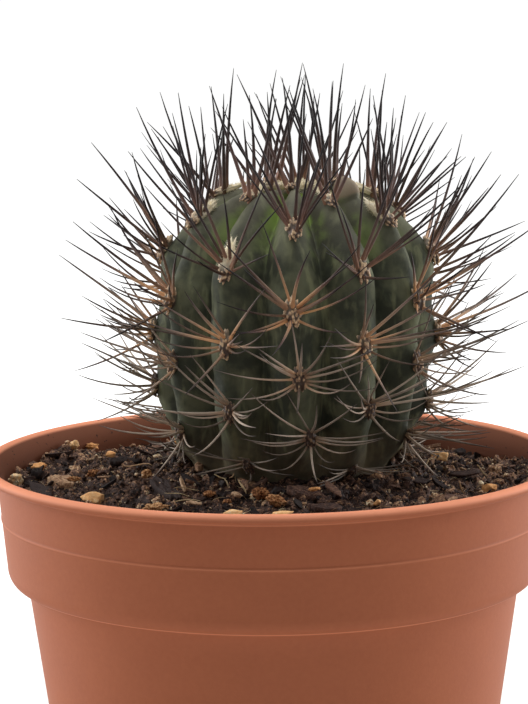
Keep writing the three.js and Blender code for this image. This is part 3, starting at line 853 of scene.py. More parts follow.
        # Painted highlights: the lip's top and thin lines of the collar are paled where they would
        # catch the light
        pale = self.lip_highlight * np.clip((height + self.lip_highlight_depth) / self.lip_highlight_fade, 0, 1)
        for depth, share in self.highlight_lines:
            pale = np.maximum(pale, share * (np.abs(height + depth) < self.highlight_half_width))
        note(pot, "edge", pale * (radius > self.taper(-height) + self.outside_gap))

    def build(self) -> bpy.types.Object:
        """Turns the profile, drills it and marks it."""
        pot = make("nursery_pot", *lathe(self.inner_line() + self.outer_line(), self.sides))
        self.drain(pot)
        self.mark(pot)
        pot.data.name = pot.name
        pot.data.set_sharp_from_angle(angle=math.radians(self.crease))
        return pot


# Measured departures of single areoles from the even spacing: mm down the rib and mm to the right
NUDGES = {
    (0, 2): (0.3, 0.7), (0, 4): (1.3, 0.0), (0, 6): (-0.6, 1.0), (0, 8): (-2.5, 3.0),
    (11, 1): (-1.2, -1.9), (11, 3): (1.0, 1.0), (11, 5): (0.3, 1.4), (11, 7): (-0.7, 1.3),
    (11, 9): (-2.2, 2.8), (1, 1): (0.3, -0.6), (1, 3): (1.2, -0.2), (1, 5): (0.5, -0.7),
    (1, 7): (-1.1, 0.9), (2, 2): (-1.0, -1.2), (2, 4): (0.4, -0.6), (2, 6): (-1.6, -0.8),
    (2, 8): (0.2, 1.6), (3, 3): (0.6, 0.0), (3, 5): (2.0, 0.0), (3, 7): (1.4, -0.8),
    (9, 5): (0.9, 0.4), (9, 7): (-2.4, 0.6), (10, 4): (0.3, 0.6), (10, 6): (-1.9, 1.4),
    (10, 8): (-1.7, 0.4),
}
STRAY = 0.9  # most that any other areole strays, in mm


def nudge(rib: int, number: int) -> tuple[float, float]:
    """How far an areole lies from its even place.

    Args:
        rib: its rib.
        number: its number down the rib.

    Returns:
        Millimetres down the rib and to the right.
    """
    drawn = (STRAY * sway(31 * rib + number), STRAY * sway(17 * rib + number))
    return NUDGES.get((rib, number), drawn)


@dataclass(frozen=True)
class StemForm:
    """Ribbed stem: a lobed crest line turned round a slightly leaning axis, cut by sharp grooves
    and swollen round each areole."""

    ribs: int = 12
    x: float = 4.0
    y: float = 6.0
    lean: float = 1.6
    lean_height: float = 45.0
    equator: float = 30.0
    radius: float = 28.2
    upper_height: float = 26.0
    upper_power: float = 2.35
    lower_height: float = 38.0
    lower_power: float = 3.0
    crown_dip: float = 2.0
    crown_dip_radius: float = 6.0
    groove: float = 5.4
    groove_power: float = 1.7
    groove_share: float = 0.34
    twist: float = 0.0019
    first_rib: float = -0.03
    soil_line: float = -2.0
    base_fade: float = 8.0
    base_share: float = 0.22
    areole_first: float = 7.1
    areole_step: float = 8.6
    areole_shrink: float = 0.11
    areoles: int = 10
    chin_rise: float = 1.1
    chin_length: float = 4.2
    chin_offset: float = 1.2
    chin_full: int = 3
    bud_rib: float = 2.1
    bud_run: float = 12.0
    bud_rise: float = 3.0
    bud_reach: float = 3.0
    stub: tuple[tuple[float, float], ...] = ((18.4, -12.0), (11.5, -23.0))
    stub_end: float = -28.0
    relief: tuple[Relief, ...] = (Relief(0.28, 7.0, 3, 3.1), Relief(0.07, 1.6, 2, 8.4))
    relief_centre: float = 20.0
    relief_fade: float = 12.0
    young_full: float = 1.3
    young_length: float = 25.0
    old_length: float = 12.0
    rows: int = 250
    row_spread: float = 0.92
    steps: int = 22
    step_spread: float = 1.25

    def crest_line(self) -> np.ndarray:
        """Crest of a rib as rows of distance from the crown, radius and height."""
        fineness = 1200
        angles = np.pi / 2 * (1 - 2 * np.arange(fineness + 1) / fineness)
        upper = angles >= 0
        power = np.where(upper, self.upper_power, self.lower_power)
        tall = np.where(upper, self.upper_height, self.lower_height)
        radius = self.radius * np.abs(np.cos(angles)) ** (2 / power)
        height = self.equator + np.sign(angles) * tall * np.abs(np.sin(angles)) ** (2 / power)
        keep = height >= self.soil_line
        radius, height = radius[keep], height[keep]
        height = height - self.crown_dip * np.exp(-(radius / self.crown_dip_radius) ** 2)
        run = np.concatenate([[0], np.cumsum(np.hypot(np.diff(radius), np.diff(height)))])
        return np.stack([run, radius, height], 1)

    def areole_run(self, number: int) -> float:
        """Distance of an areole from the crown, along the crest."""
        return self.areole_first + self.areole_step * number - self.areole_shrink * number ** 2

    def numbers(self, rib: int) -> range:
        """Numbers of the areoles on a rib: odd and even ones alternate from rib to rib."""
        return range(rib % 2, self.areoles, 2)

    def turn(self, rib: Number, height: Number) -> Number:
        """Angle of a rib at a height, from straight ahead towards the right."""
        return self.first_rib + TAU * rib / self.ribs + self.twist * (self.equator - height)

    def surface(self, rib: np.ndarray, across: np.ndarray, run: np.ndarray) -> np.ndarray:
        """Points of the skin.

        Args:
            rib: rib numbers.
            across: place over the rib, from -1 at one groove to 1 at the next.
            run: distances from the crown along the crest.

        Returns:
            Points with the same leading shape as the arguments.
        """
        line = self.crest_line()
        radius = np.interp(run, line[:, 0], line[:, 1])
        height = np.interp(run, line[:, 0], line[:, 2])
        out_r = np.interp(run, line[:, 0], -np.gradient(line[:, 2], line[:, 0]))
        out_z = np.interp(run, line[:, 0], np.gradient(line[:, 1], line[:, 0]))
        low = np.clip((height - self.soil_line) / self.base_fade, 0, 1)
        depth = np.minimum(self.groove, self.groove_share * run)
        depth = depth * (self.base_share + (1 - self.base_share) * low)
        swell = np.zeros_like(radius)
        for each in range(self.ribs):
            for number in self.numbers(each):
                middle = self.areole_run(number) + nudge(each, number)[0] + self.chin_offset
                size = self.chin_rise * min(1.0, (number + 1) / self.chin_full)
                chin = size * np.exp(-((run - middle) / self.chin_length) ** 2)
                swell = swell + chin * (rib == each)
        move = swell * low * (1 - across ** 2) - depth * np.abs(across) ** self.groove_power
        move = move + self.bud_rise * self.bud_share(rib, across, run, radius)
        radius = radius + out_r * move
        turn = self.turn(rib + across / 2, height)
        share = np.clip((height - self.soil_line) / self.lean_height, 0, 1)
        return np.stack([self.x + self.lean * share + radius * np.sin(turn),
                         self.y - radius * np.cos(turn), height + out_z * move], -1)

    def bud_share(self, rib: np.ndarray, across: np.ndarray, run: np.ndarray,
                  radius: np.ndarray) -> np.ndarray:
        """How far points of the skin belong to the bud, from 0 to 1.

        Args:
            rib: rib numbers.
            across: place over the rib, from -1 to 1.
            run: distances from the crown along the crest.
            radius: distances from the axis.

        Returns:
            A share for each point.
        """
        sideways = radius * TAU / self.ribs * (rib + across / 2 - self.bud_rib)
        away = np.hypot(run - self.bud_run, sideways)
        return np.sqrt(np.clip(1 - (away / self.bud_reach) ** 2, 0, 1))

    def roughened(self, rings: np.ndarray, run: np.ndarray) -> np.ndarray:
        """Gives the skin its fine unevenness, away from the crown.

        Args:
            rings: rings of points.
            run: their distances from the crown along the crest.

        Returns:
            The moved rings.
        """
        flat = rings.reshape(-1, 3)
        ways = flat - (self.x + self.lean, self.y, self.relief_centre)
        ways /= np.linalg.norm(ways, axis=1, keepdims=True)
        relief = sum(each.at(flat) for each in self.relief)
        fade = np.clip(run.reshape(-1) / self.relief_fade, 0, 1)
        return (flat + ways * (relief * fade)[:, None]).reshape(rings.shape)

    def build(self) -> bpy.types.Object:
        """Skins the ribbed stem down to the soil line and closes it with the buried root."""
        line = self.crest_line()
        length = line[-1, 0]
        across = (np.arange(self.steps) + 0.5) / self.steps * 2 - 1
        across = np.sign(across) * (1 - (1 - np.abs(across)) ** self.step_spread)
        runs = length * (np.arange(1, self.rows + 1) / self.rows) ** self.row_spread
        rib, run = np.meshgrid(np.repeat(np.arange(self.ribs), self.steps), runs)
        place = np.meshgrid(np.tile(across, self.ribs), runs)[0]
        rings = self.roughened(self.surface(rib, place, run), run)
        sides = rings.shape[1]
        first = (self.steps - 1) / 2
        turns = self.turn(0, self.soil_line) + TAU * (np.arange(sides) - first) / sides
        buried = [np.stack([self.x + radius * np.sin(turns), self.y - radius * np.cos(turns),
                            np.full(sides, height)], 1) for radius, height in self.stub]
        top = self.surface(np.array(0.0), np.array(0.0), np.array(0.0))
        points, faces = skin(top, np.concatenate([rings, buried]), (self.x, self.y, self.stub_end))
        stem = make("cactus_stem", points, faces)
        radius = np.interp(runs, line[:, 0], line[:, 1])[:, None]
        marks = {
            "groove": (0, np.abs(place), 0),
            "young": (1, np.clip(self.young_full - run / self.young_length, 0, 1), 0),
            "old": (0, np.clip((run - length + self.old_length) / self.old_length, 0, 1), 1),
            "bud": (0, self.bud_share(rib, place, run, radius), 0),
        }
        for name, (crown, values, root) in marks.items():
            below = np.full(len(points) - 1 - values.size, root)
            note(stem, name, np.concatenate([[crown], values.reshape(-1), below]))
        return stem


STEM = StemForm()
POT = PotForm()


@dataclass(frozen=True)
class Areole:
    """One felted cushion on a rib, with its own directions."""

    rib: int
    number: int
    place: Vector
    up: Vector
    side: Vector
    out: Vector

    @property
    def young(self) -> bool:
        """Whether it is the youngest of its rib."""
        return self.number < 2

    @property
    def age(self) -> float:
        """0 on the crown, 1 at the soil."""
        return min(1.0, self.number / 7)

    @property
    def worn(self) -> float:
        """How far weather has worn it: 0 down to the middle of the stem, 1 at the soil."""
        return min(1.0, max(0.0, (self.number - 4) / 4))

    @property
    def seed(self) -> float:
        """Number that starts this areole's draws."""
        return 1000.0 * self.rib + 50.0 * self.number


def areoles() -> list[Areole]:
    """Finds every areole of the stem.

    Returns:
        The areoles, rib by rib.
    """
    found = []
    reach = 1.5
    for rib in range(STEM.ribs):
        for number in STEM.numbers(rib):
            down, right = nudge(rib, number)
            run = STEM.areole_run(number) + down
            at = [Vector(STEM.surface(np.array(float(rib)), np.array(0.0), np.array(run + step)))
                  for step in (-reach, 0.0, reach)]
            up = (at[0] - at[2]).normalized()
            turn = STEM.turn(rib, at[1].z)
            side = Vector((math.cos(turn), math.sin(turn), 0.0))
            out = side.cross(up)
            if out.dot(Vector((math.sin(turn), -math.cos(turn), 0.5))) < 0:
                out = -out
            found.append(Areole(rib, number, at[1] + side * right, up, side, out.normalized()))
    return found


@dataclass(frozen=True)
class Needle:
    """One kind of spine: its bearing from up the rib, its rise above the skin, both in degrees, its
    length in mm, its stoutness, and how far its tip turns up and in, as shares of the length."""

    bearing: float
    rise: float
    length: float
    stout: float
    up: float
    inward: float


GROWN = (
    Needle(5, 68, 26, 1.15, 0.02, 0.02), Needle(-14, 44, 17, 0.85, 0.05, 0.04),
    Needle(176, 56, 20, 1.0, 0.12, 0.03),
    Needle(44, 50, 22, 1.05, 0.05, 0.05), Needle(-42, 52, 21, 1.05, 0.05, 0.05),
    Needle(66, 42, 21, 1.0, 0.08, 0.06), Needle(-64, 40, 21, 1.0, 0.08, 0.06),
    Needle(80, 54, 24, 1.1, 0.08, 0.05), Needle(-82, 56, 23, 1.1, 0.08, 0.05),
    Needle(96, 36, 19, 0.85, 0.12, 0.08), Needle(-98, 38, 19, 0.85, 0.12, 0.08),
    Needle(117, 40, 18, 0.8, 0.2, 0.07), Needle(-115, 41, 18, 0.8, 0.2, 0.07),
    Needle(146, 36, 16, 0.8, 0.26, 0.05), Needle(-144, 34, 16, 0.8, 0.26, 0.05),
)
CROWN = (
    Needle(4, 72, 25, 1.5, 0.0, 0.0), Needle(66, 52, 22, 1.45, 0.02, 0.0),
    Needle(-64, 52, 22, 1.4, 0.02, 0.0), Needle(140, 50, 18, 1.35, 0.02, 0.0),
    Needle(-150, 48, 17, 1.3, 0.02, 0.0),
)
# The lowest areoles spread theirs flat to both sides, thin and weathered
LOWEST = (
    Needle(8, 48, 12, 0.85, 0.0, 0.05), Needle(44, 34, 14, 0.85, 0.02, 0.06),
    Needle(-46, 34, 15, 0.85, 0.02, 0.06), Needle(60, 26, 17, 0.9, 0.04, 0.08),
    Needle(-60, 28, 18, 0.9, 0.04, 0.08), Needle(72, 20, 16, 0.8, 0.06, 0.08),
    Needle(-74, 22, 17, 0.8, 0.06, 0.08), Needle(86, 28, 15, 0.85, 0.08, 0.06),
    Needle(-90, 28, 16, 0.85, 0.08, 0.06), Needle(166, 50, 14, 1.0, 0.02, 0.02),
)


@dataclass(frozen=True)
class SpineCoat:
    """Every spine of the plant, as tapering bent needles.

    Its numbers are millimetres, degrees and shares, and areoles are counted down their rib.
    """

    root_radius: float = 0.355
    taper_power: float = 0.46
    tip_share: float = 0.14
    sunk: float = 1.2
    points: int = 10
    step_power: float = 1.3
    sides: int = 6
    bulb: float = 0.3
    bulb_place: float = 0.06
    bulb_width: float = 0.05
    youngest: int = 3
    short: float = 17.5
    last_without_short: int = 3
    first_lowest: int = 9
    # How much the tone of the lowest areoles' spines is lowered, as painted shade
    low_painted_shade: float = 0.3
    gather: float = 12.0
    gather_least: float = 0.4
    bearing_jitter: float = 17.0
    rise_jitter: float = 11.0
    length_jitter: float = 0.17
    worn_length: float = 0.78
    worn_stout: float = 0.74
    young_waist: float = 0.3
    upright: tuple[float, ...] = (0.9, 0.8, 0.6, 0.34, 0.14)
    longer_right: float = 0.05
    foot_least: float = 0.3
    foot_length: float = 1.7
    foot_width: float = 0.9
    curl: float = 1.5
    curl_young: float = 0.4
    stray_side: float = 0.08
    stray_up: float = 0.07
    stem_gap: float = 22.5
    ground_gap: float = 0.6
    wall_gap: float = 2.0
    wall_height: float = -4.0
    low_height: float = 3.0
    reach: float = 58.8
    top: float = 82.0
    cut_back: float = 1.25

    def kinds(self, areole: Areole) -> Sequence[Needle]:
        """The spines that an areole bears, of which the younger ones have fewer."""
        if areole.young:
            return CROWN[:self.youngest + areole.number]
        if areole.number >= self.first_lowest:
            return LOWEST
        if areole.number <= self.last_without_short:
            return [kind for kind in GROWN if kind.length > self.short]
        return GROWN

    def paths(self) -> tuple[np.ndarray, dict[str, np.ndarray]]:
        """Lays out the spines.

        Returns:
            The points of every spine, spine by spine, and its attributes by name.
        """
        steps = np.linspace(0, 1, self.points) ** self.step_power
        swollen = 1 + self.bulb * np.exp(-((steps - self.bulb_place) / self.bulb_width) ** 2)
        places, marks = [], {"along": [], "age": [], "tone": [], "stout": []}
        for areole in areoles():
            # Painted shade: the spines of the lowest areoles, in shadow by the soil, are given a lower
            # tone
            shade = self.low_painted_shade if areole.number >= self.first_lowest else 0.0
            thinner = self.young_waist * steps if areole.young else (1 - self.worn_stout) * areole.worn
            for index, kind in enumerate(self.kinds(areole)):
                seed = areole.seed + index
                places.append(self.line(areole, kind, seed, steps))
                marks["along"].append(steps)
                marks["age"].append(np.full(self.points, areole.age))
                marks["tone"].append(np.full(self.points, draw(seed + 0.77) - shade))
                marks["stout"].append(kind.stout * swollen * (1 - thinner))
        return np.concatenate(places), {k: np.concatenate(v) for k, v in marks.items()}

    def line(self, areole: Areole, kind: Needle, seed: float, steps: np.ndarray) -> np.ndarray:
        """One spine's points.

        Args:
            areole: where it grows.
            kind: which kind of spine it is.
            seed: starts its draws.
            steps: shares of its length, from 0 to 1.

        Returns:
            Rows of x, y, z.
        """
        gather = self.gather * (self.gather_least + draw(areole.seed + 0.5))
        gather *= math.sin(2 * math.radians(kind.bearing))
        bearing = math.radians(kind.bearing + gather + self.bearing_jitter * sway(seed))
        rise = math.radians(kind.rise + self.rise_jitter * sway(seed + 0.31))
        length = kind.length * (1 + self.length_jitter * sway(seed + 0.62))
        length *= (1 - (1 - self.worn_length) * areole.worn) * (
            1 + self.longer_right * areole.out.x)
        flat = areole.up * math.cos(bearing) + areole.side * math.sin(bearing)
        way = flat * math.cos(rise) + areole.out * math.sin(rise)
        if areole.number < len(self.upright):
            way.z += self.upright[areole.number]
        way.normalize()
        foot = self.foot_least + math.cos(rise)
        root = areole.place + areole.up * (self.foot_length * foot * math.cos(bearing))
        root += areole.side * (self.foot_width * foot * math.sin(bearing))
        bend = Vector((0, 0, 1)) * (kind.up * (self.curl_young + areole.age ** 2))
        bend -= areole.out * kind.inward
        bend += (areole.side * (self.stray_side * sway(seed + 0.13))
                 + areole.up * (self.stray_up * sway(seed + 0.47)))
        tip = root + way * length + bend * (self.curl * length)
        past = max(0.0, math.hypot(tip.x, tip.y) - self.reach, tip.z - self.top)
        length -= self.cut_back * past
        full = length + self.sunk
        spine = [np.array(root + way * (full * t - self.sunk) + bend * (length * t * t * self.curl))
                 for t in steps]
        return self.cleared(np.array(spine))

    def cleared(self, spine: np.ndarray) -> np.ndarray:
        """Keeps a spine above the mix and off the pot's wall."""
        radius = np.hypot(spine[:, 0], spine[:, 1])
        limit = POT.inside(self.wall_height) - self.wall_gap
        low = spine[:, 2] < self.low_height
        pull = np.where(low & (radius > limit), limit / np.maximum(radius, 1e-6), 1.0)
        spine[:, 0] *= pull
        spine[:, 1] *= pull
        ground = GROUND.height(spine[:, 0], spine[:, 1]) + self.ground_gap
        away = np.hypot(spine[:, 0] - STEM.x, spine[:, 1] - STEM.y) > self.stem_gap
        spine[:, 2] = np.where(away, np.maximum(spine[:, 2], ground), spine[:, 2])
        return spine

    def build(self, material: bpy.types.Material) -> bpy.types.Object:
        """Grows the needles along their paths.

        Args:
            material: the horn they are made of.

        Returns:
            The piece.
        """
        places, marks = self.paths()
        count = len(places) // self.points
        edges = [(s * self.points + i, s * self.points + i + 1)
                 for s in range(count) for i in range(self.points - 1)]
        base = make("spine_paths", places, [], edges=edges)
        for name, values in marks.items():
            note(base, name, values)
        inputs = {
            "Root radius": ("NodeSocketFloat", self.root_radius * MM),
            "Taper power": ("NodeSocketFloat", self.taper_power),
            "Tip share": ("NodeSocketFloat", self.tip_share),
            "Sides": ("NodeSocketInt", self.sides),
            "Horn": ("NodeSocketMaterial", material),
        }
        tree, source = growth_tree("tapering_needles", inputs)
        curves = add(tree, "GeometryNodeMeshToCurve", links={0: source.outputs["Geometry"]})
        along, stout = (
            add(tree, "GeometryNodeInputNamedAttribute", {"data_type": "FLOAT"}, {
                "Name": name}).outputs[0] for name in ("along", "stout"))
        left = add(tree, "ShaderNodeMath", {"operation": "SUBTRACT"}, {0: 1.0, 1: along})
        taper = add(tree, "ShaderNodeMath", {"operation": "POWER"}, {
            0: left.outputs[0], 1: source.outputs["Taper power"]})
        radius = add(tree, "ShaderNodeMath", {"operation": "MAXIMUM"}, {
            0: taper.outputs[0], 1: source.outputs["Tip share"]})
        for factor in (stout, source.outputs["Root radius"]):
            radius = add(tree, "ShaderNodeMath", {"operation": "MULTIPLY"}, {
                0: radius.outputs[0], 1: factor})
        circle = add(tree, "GeometryNodeCurvePrimitiveCircle", links={
            "Resolution": source.outputs["Sides"], "Radius": 1.0})
        swept = add(tree, "GeometryNodeCurveToMesh", links={
            "Curve": curves.outputs[0], "Profile Curve": circle.outputs[0],
            "Scale": radius.outputs[0], "Fill Caps": True})
        soft = add(tree, "GeometryNodeSetShadeSmooth", links={0: swept.outputs[0]})
        solid = add(tree, "GeometryNodeRealizeInstances", links={0: soft.outputs[0]})
        done = add(tree, "GeometryNodeSetMaterial", links={
            "Geometry": solid.outputs[0], "Material": source.outputs["Horn"]})
        add(tree, "NodeGroupOutput", links={0: done.outputs[0]})
        return bake(base, tree, inputs, "cactus_spines")


@dataclass(frozen=True)
class GroundForm:
    """Mean surface of the mix: mounded up round the stem, lowest at the back of the pot, and with
    heaps pushed up against the wall, given by x, y, rise and reach in mm."""

    stem_edge: float = 21.3
    wall_height: float = -5.6
    fall_back: float = 0.02
    fall_right: float = 0.008
    mound_height: float = -2.4
    mound_spread: float = 16.0
    heaps: tuple[tuple[float, ...], ...] = ((-47, 29, 2.4, 6), (54, 9, 2.4, 9))

    def height(self, x: Number, y: Number) -> Number:
        """Its height at x and y."""
        away = np.maximum(0, np.hypot(x - STEM.x, y - STEM.y) - self.stem_edge)
        wall = self.wall_height - self.fall_back * np.asarray(y) - self.fall_right * np.asarray(x)
        height = wall + (self.mound_height - wall) * np.exp(-(away / self.mound_spread) ** 2)
        for heap_x, heap_y, rise, reach in self.heaps:
            height = height + rise * np.exp(-((x - heap_x) ** 2 + (y - heap_y) ** 2) / reach ** 2)
        return height


GROUND = GroundForm()

# The grown areoles that have kept their wool, by rib and number, and how woolly they are
TUFTED = {(11, 3): 0.9, (2, 2): 0.85, (10, 2): 0.8}
# How woolly the areoles are, by number down the rib
WOOLLY = (1.0, 0.85, 0.1, 0.12, 0.12, 0.1)


@dataclass(frozen=True)
class FeltCushions:
    """The areoles: clusters of knobs at the spines' feet, with wool on the young ones."""

    length: float = 2.9
    width: float = 1.65
    rise: float = 1.35
    rows: int = 22
    sides: int = 38
    knobs: int = 34
    knob_reach: float = 0.185
    knob_height: float = 0.42
    knob_cover: float = 1.1
    knob_mean: float = 0.4
    young_slim: float = 0.72
    wool_length: float = 1.5
    wool_level: float = 0.5
    wool_slope: float = 1.2
    worn_size: float = 0.72
    # How far the knobs of the lower areoles are darkened towards the chinks, as painted shade
    lower_painted_shade: float = 0.5
    fibre_length: float = 0.8
    fibre_radius: float = 0.04
    fibre_lean: float = 0.9
    fibre_spin: float = 6.28
    fibre_sizes: tuple[float, float] = (0.5, 1.3)
    fibre_seed: int = 7
    density: float = 9.0
    density_power: float = 3.0

    def cluster(self, areole: Areole) -> tuple[np.ndarray, np.ndarray, np.ndarray]:
        """One areole's rings of points, with how far each is on a knob and how woolly it is.

        Args:
            areole: where it is.

        Returns:
            The rings, from the outermost point of its face down, and two values a point.
        """
        tilt = math.pi * np.arange(1, self.rows + 1) / (self.rows + 1)
        angle = TAU * np.arange(self.sides) / self.sides
        ways = np.stack([np.outer(np.sin(tilt), np.cos(angle)), -np.outer(np.sin(tilt), np.sin(angle)),
                         np.outer(np.cos(tilt), np.ones(self.sides))], -1)
        knob = np.zeros(ways.shape[:2])
        middles = spread_ways(self.knobs, self.knob_cover, areole.seed, apart=0.4, high_stray=0.06,
                              turn_stray=0.5)
        for middle in middles:
            apart = np.arccos(np.clip(ways @ middle, -1, 1))
            knob = np.maximum(knob, np.exp(-(apart / self.knob_reach) ** 2))
        usual = WOOLLY[areole.number] if areole.number < len(WOOLLY) else 0.0
        fresh = TUFTED.get((areole.rib, areole.number), usual)
        wool = np.clip(fresh * (self.wool_level + self.wool_slope * ways[:, :, 0]), 0, 1)
        size = 1 + self.knob_height * (knob - self.knob_mean)
        size = size * (1 - (1 - self.worn_size) * areole.worn)
        slim = self.young_slim if areole.young else 1.0
        reach = ways * size[:, :, None] * (self.length, self.width * slim, self.rise * slim)
        reach[:, :, 0] *= 1 + self.wool_length * fresh ** 2 * np.clip(ways[:, :, 0], 0, 1)
        # Painted shade: the lower areoles' knobs are darkened towards the chink colour
        knob = knob * (1 - self.lower_painted_shade * areole.worn)
        axes = np.array([areole.up[:], areole.side[:], areole.out[:]])
        return np.array(areole.place) + reach @ axes, knob, wool

    def build(self, material: bpy.types.Material) -> bpy.types.Object:
        """Makes the clusters and covers the young ones with wool.

        Args:
            material: the felt they are made of.

        Returns:
            The piece.
        """
        shapes, marks = [], {"knob": [], "wool": []}
        for areole in areoles():
            rings, knob, wool = self.cluster(areole)
            shapes.append(skin(rings[0].mean(0), rings, rings[-1].mean(0)))
            for name, values in (("knob", knob), ("wool", wool)):
                marks[name].append(np.concatenate([[values[0].mean()], values.reshape(-1), [0]]))
        base = make("felt_cushions", *joined(shapes))
        mesh = bmesh.new()
        mesh.from_mesh(base.data)
        bmesh.ops.recalc_face_normals(mesh, faces=mesh.faces)
        mesh.to_mesh(base.data)
        mesh.free()
        for name, values in marks.items():
            note(base, name, np.concatenate(values))
        inputs = {
            "Fibres per mm2": ("NodeSocketFloat", self.density / MM ** 2),
            "Fibre length": ("NodeSocketFloat", self.fibre_length * MM),
            "Fibre radius": ("NodeSocketFloat", self.fibre_radius * MM),
            "Density power": ("NodeSocketFloat", self.density_power),
            "Seed": ("NodeSocketInt", self.fibre_seed),
            "Felt": ("NodeSocketMaterial", material),
        }
        tree, source = growth_tree("felt_fibres", inputs)
        wool = add(tree, "GeometryNodeInputNamedAttribute", {"data_type": "FLOAT"}, {"Name": "wool"})
        woollier = add(tree, "ShaderNodeMath", {"operation": "POWER"}, {
            0: wool.outputs[0], 1: source.outputs["Density power"]})
        thick = add(tree, "ShaderNodeMath", {"operation": "MULTIPLY"}, {
            0: woollier.outputs[0], 1: source.outputs["Fibres per mm2"]})
        spots = add(tree, "GeometryNodeDistributePointsOnFaces", links={
            "Mesh": source.outputs["Geometry"], "Density": thick.outputs[0],
            "Seed": source.outputs["Seed"]})
        fibre = add(tree, "GeometryNodeMeshCone", links={
            "Vertices": 3, "Side Segments": 2, "Radius Top": 0.0,
            "Radius Bottom": source.outputs["Fibre radius"], "Depth": source.outputs["Fibre length"]})
        lean = add(tree, "FunctionNodeRandomValue", {"data_type": "FLOAT_VECTOR"}, {
            0: (-self.fibre_lean, -self.fibre_lean, 0.0),
            1: (self.fibre_lean, self.fibre_lean, self.fibre_spin), "Seed": source.outputs["Seed"]})
        tilt = add(tree, "FunctionNodeEulerToRotation", links={0: lean.outputs[0]})
        turned = add(tree, "FunctionNodeRotateRotation", {"rotation_space": "LOCAL"}, {
            0: spots.outputs["Rotation"], 1: tilt.outputs[0]})
        smallest, largest = self.fibre_sizes
        size = add(tree, "FunctionNodeRandomValue", {"data_type": "FLOAT"}, {
            2: smallest, 3: largest})
        hairs = add(tree, "GeometryNodeInstanceOnPoints", links={
            "Points": spots.outputs["Points"], "Instance": fibre.outputs["Mesh"],
            "Rotation": turned.outputs[0], "Scale": size.outputs[1]})
        both = add(tree, "GeometryNodeJoinGeometry")
        tree.links.new(hairs.outputs[0], both.inputs[0])
        tree.links.new(source.outputs["Geometry"], both.inputs[0])
        solid = add(tree, "GeometryNodeRealizeInstances", links={0: both.outputs[0]})
        done = add(tree, "GeometryNodeSetMaterial", links={
            "Geometry": solid.outputs[0], "Material": source.outputs["Felt"]})
        add(tree, "NodeGroupOutput", links={0: done.outputs[0]})
        return bake(base, tree, inputs, "areole_felt")


@dataclass(frozen=True)
class GrowingMix:
    """The body of peat that fills the pot, with a lumpy top."""

    sides: int = 470
    rows: int = 130
    hole_radius: float = 20.7
    gap: float = 0.35
    edge_height: float = -6.0
    relief: tuple[Relief, ...] = (
        Relief(0.7, 9.0, 2, 1.7), Relief(1.9, 4.2, 2, 5.2, True), Relief(1.25, 1.7, 2, 9.9, True),
        Relief(0.42, 0.75, 1, 14.3))
    settled: float = 1.1
    collar_ring: float = 14.0
    wall_rings: tuple[float, ...] = (50.0, 75.0)
    tint_level: float = 0.34
    # How much paler the rises and darker the hollows of the mix are tinted, as painted highlight and
    # painted shade
    painted_light_slope: float = 0.3
    tint_patches: Relief = Relief(0.2, 2.4, 2, 4.4)
    palest: float = 0.85

    def top(self) -> np.ndarray:
        """Rings of the top surface, from the stem out to the wall."""
        circle = ring(0.0, 0.0, 1.0, 0.0, self.sides)
        hole = (STEM.x, STEM.y, 0.0) + self.hole_radius * circle
        edge = POT.inside(self.edge_height) - self.gap
        flat = np.concatenate([(1 - share) * hole + share * edge * circle
                               for share in np.linspace(0, 1, self.rows)])
        relief = sum(each.at(flat) for each in self.relief)
        flat[:, 2] = GROUND.height(flat[:, 0], flat[:, 1]) + relief - self.settled
        return flat.reshape(self.rows, self.sides, 3)

    def build(self) -> tuple[bpy.types.Object, bpy.types.Object]:
        """Makes the closed body and a bare copy of its top to scatter litter on.

        Returns:
            The body and the scattering ground.
        """
        top = self.top()
        (wide, high), (narrow, low) = STEM.stub
        inside = [ring(STEM.x, STEM.y, radius + self.gap, height, self.sides)
                  for radius, height in ((narrow, low - self.gap), (wide, high))]
        deep = -FOOT - POT.floor - self.gap
        walls = [(POT.inside(-depth), depth) for depth in (self.collar_ring, POT.collar_depth)]
        walls += [(POT.taper(depth) - POT.wall, depth)
                  for depth in (POT.shoulder_depth, *self.wall_rings, deep)]
        outside = [ring(0.0, 0.0, radius - self.gap, -depth, self.sides) for radius, depth in walls]
        points, faces = skin((STEM.x, STEM.y, STEM.stub_end - self.gap),
                             np.concatenate([inside, top, outside]), (0, 0, -deep))
        body = make("growing_mix", points, faces)
        # Tint grows with the rise over the mean ground, painting shade into the hollows and highlights
        # onto the rises, with random patches
        rise = points[:, 2] - GROUND.height(points[:, 0], points[:, 1])
        tint = self.tint_level + self.painted_light_slope * rise + self.tint_patches.at(points)
        note(body, "tint", np.clip(tint, 0, self.palest))
        rows, sides, _ = top.shape
        ground_faces = [(r * sides + s, (r + 1) * sides + s, (r + 1) * sides + (s + 1) % sides,
                         r * sides + (s + 1) % sides)
                        for r in range(1, rows - 2) for s in range(sides)]
        return body, make("ground", top.reshape(-1, 3), ground_faces)


def ball(detail: int) -> Shape:
    """A unit ball of triangles, subdivided so many times."""
    mesh = bmesh.new()
    bmesh.ops.create_icosphere(mesh, subdivisions=detail, radius=1.0)
    points = np.array([v.co[:] for v in mesh.verts])
    faces = [tuple(v.index for v in face.verts) for face in mesh.faces]
    mesh.free()
    return points, faces


def spun(turn: float, tilt: float) -> np.ndarray:
    """Turns rows of points: first tilted about y, then turned about z, both in radians."""
    return np.array(Matrix.Rotation(turn, 3, "Z") @ Matrix.Rotation(tilt, 3, "Y")).T


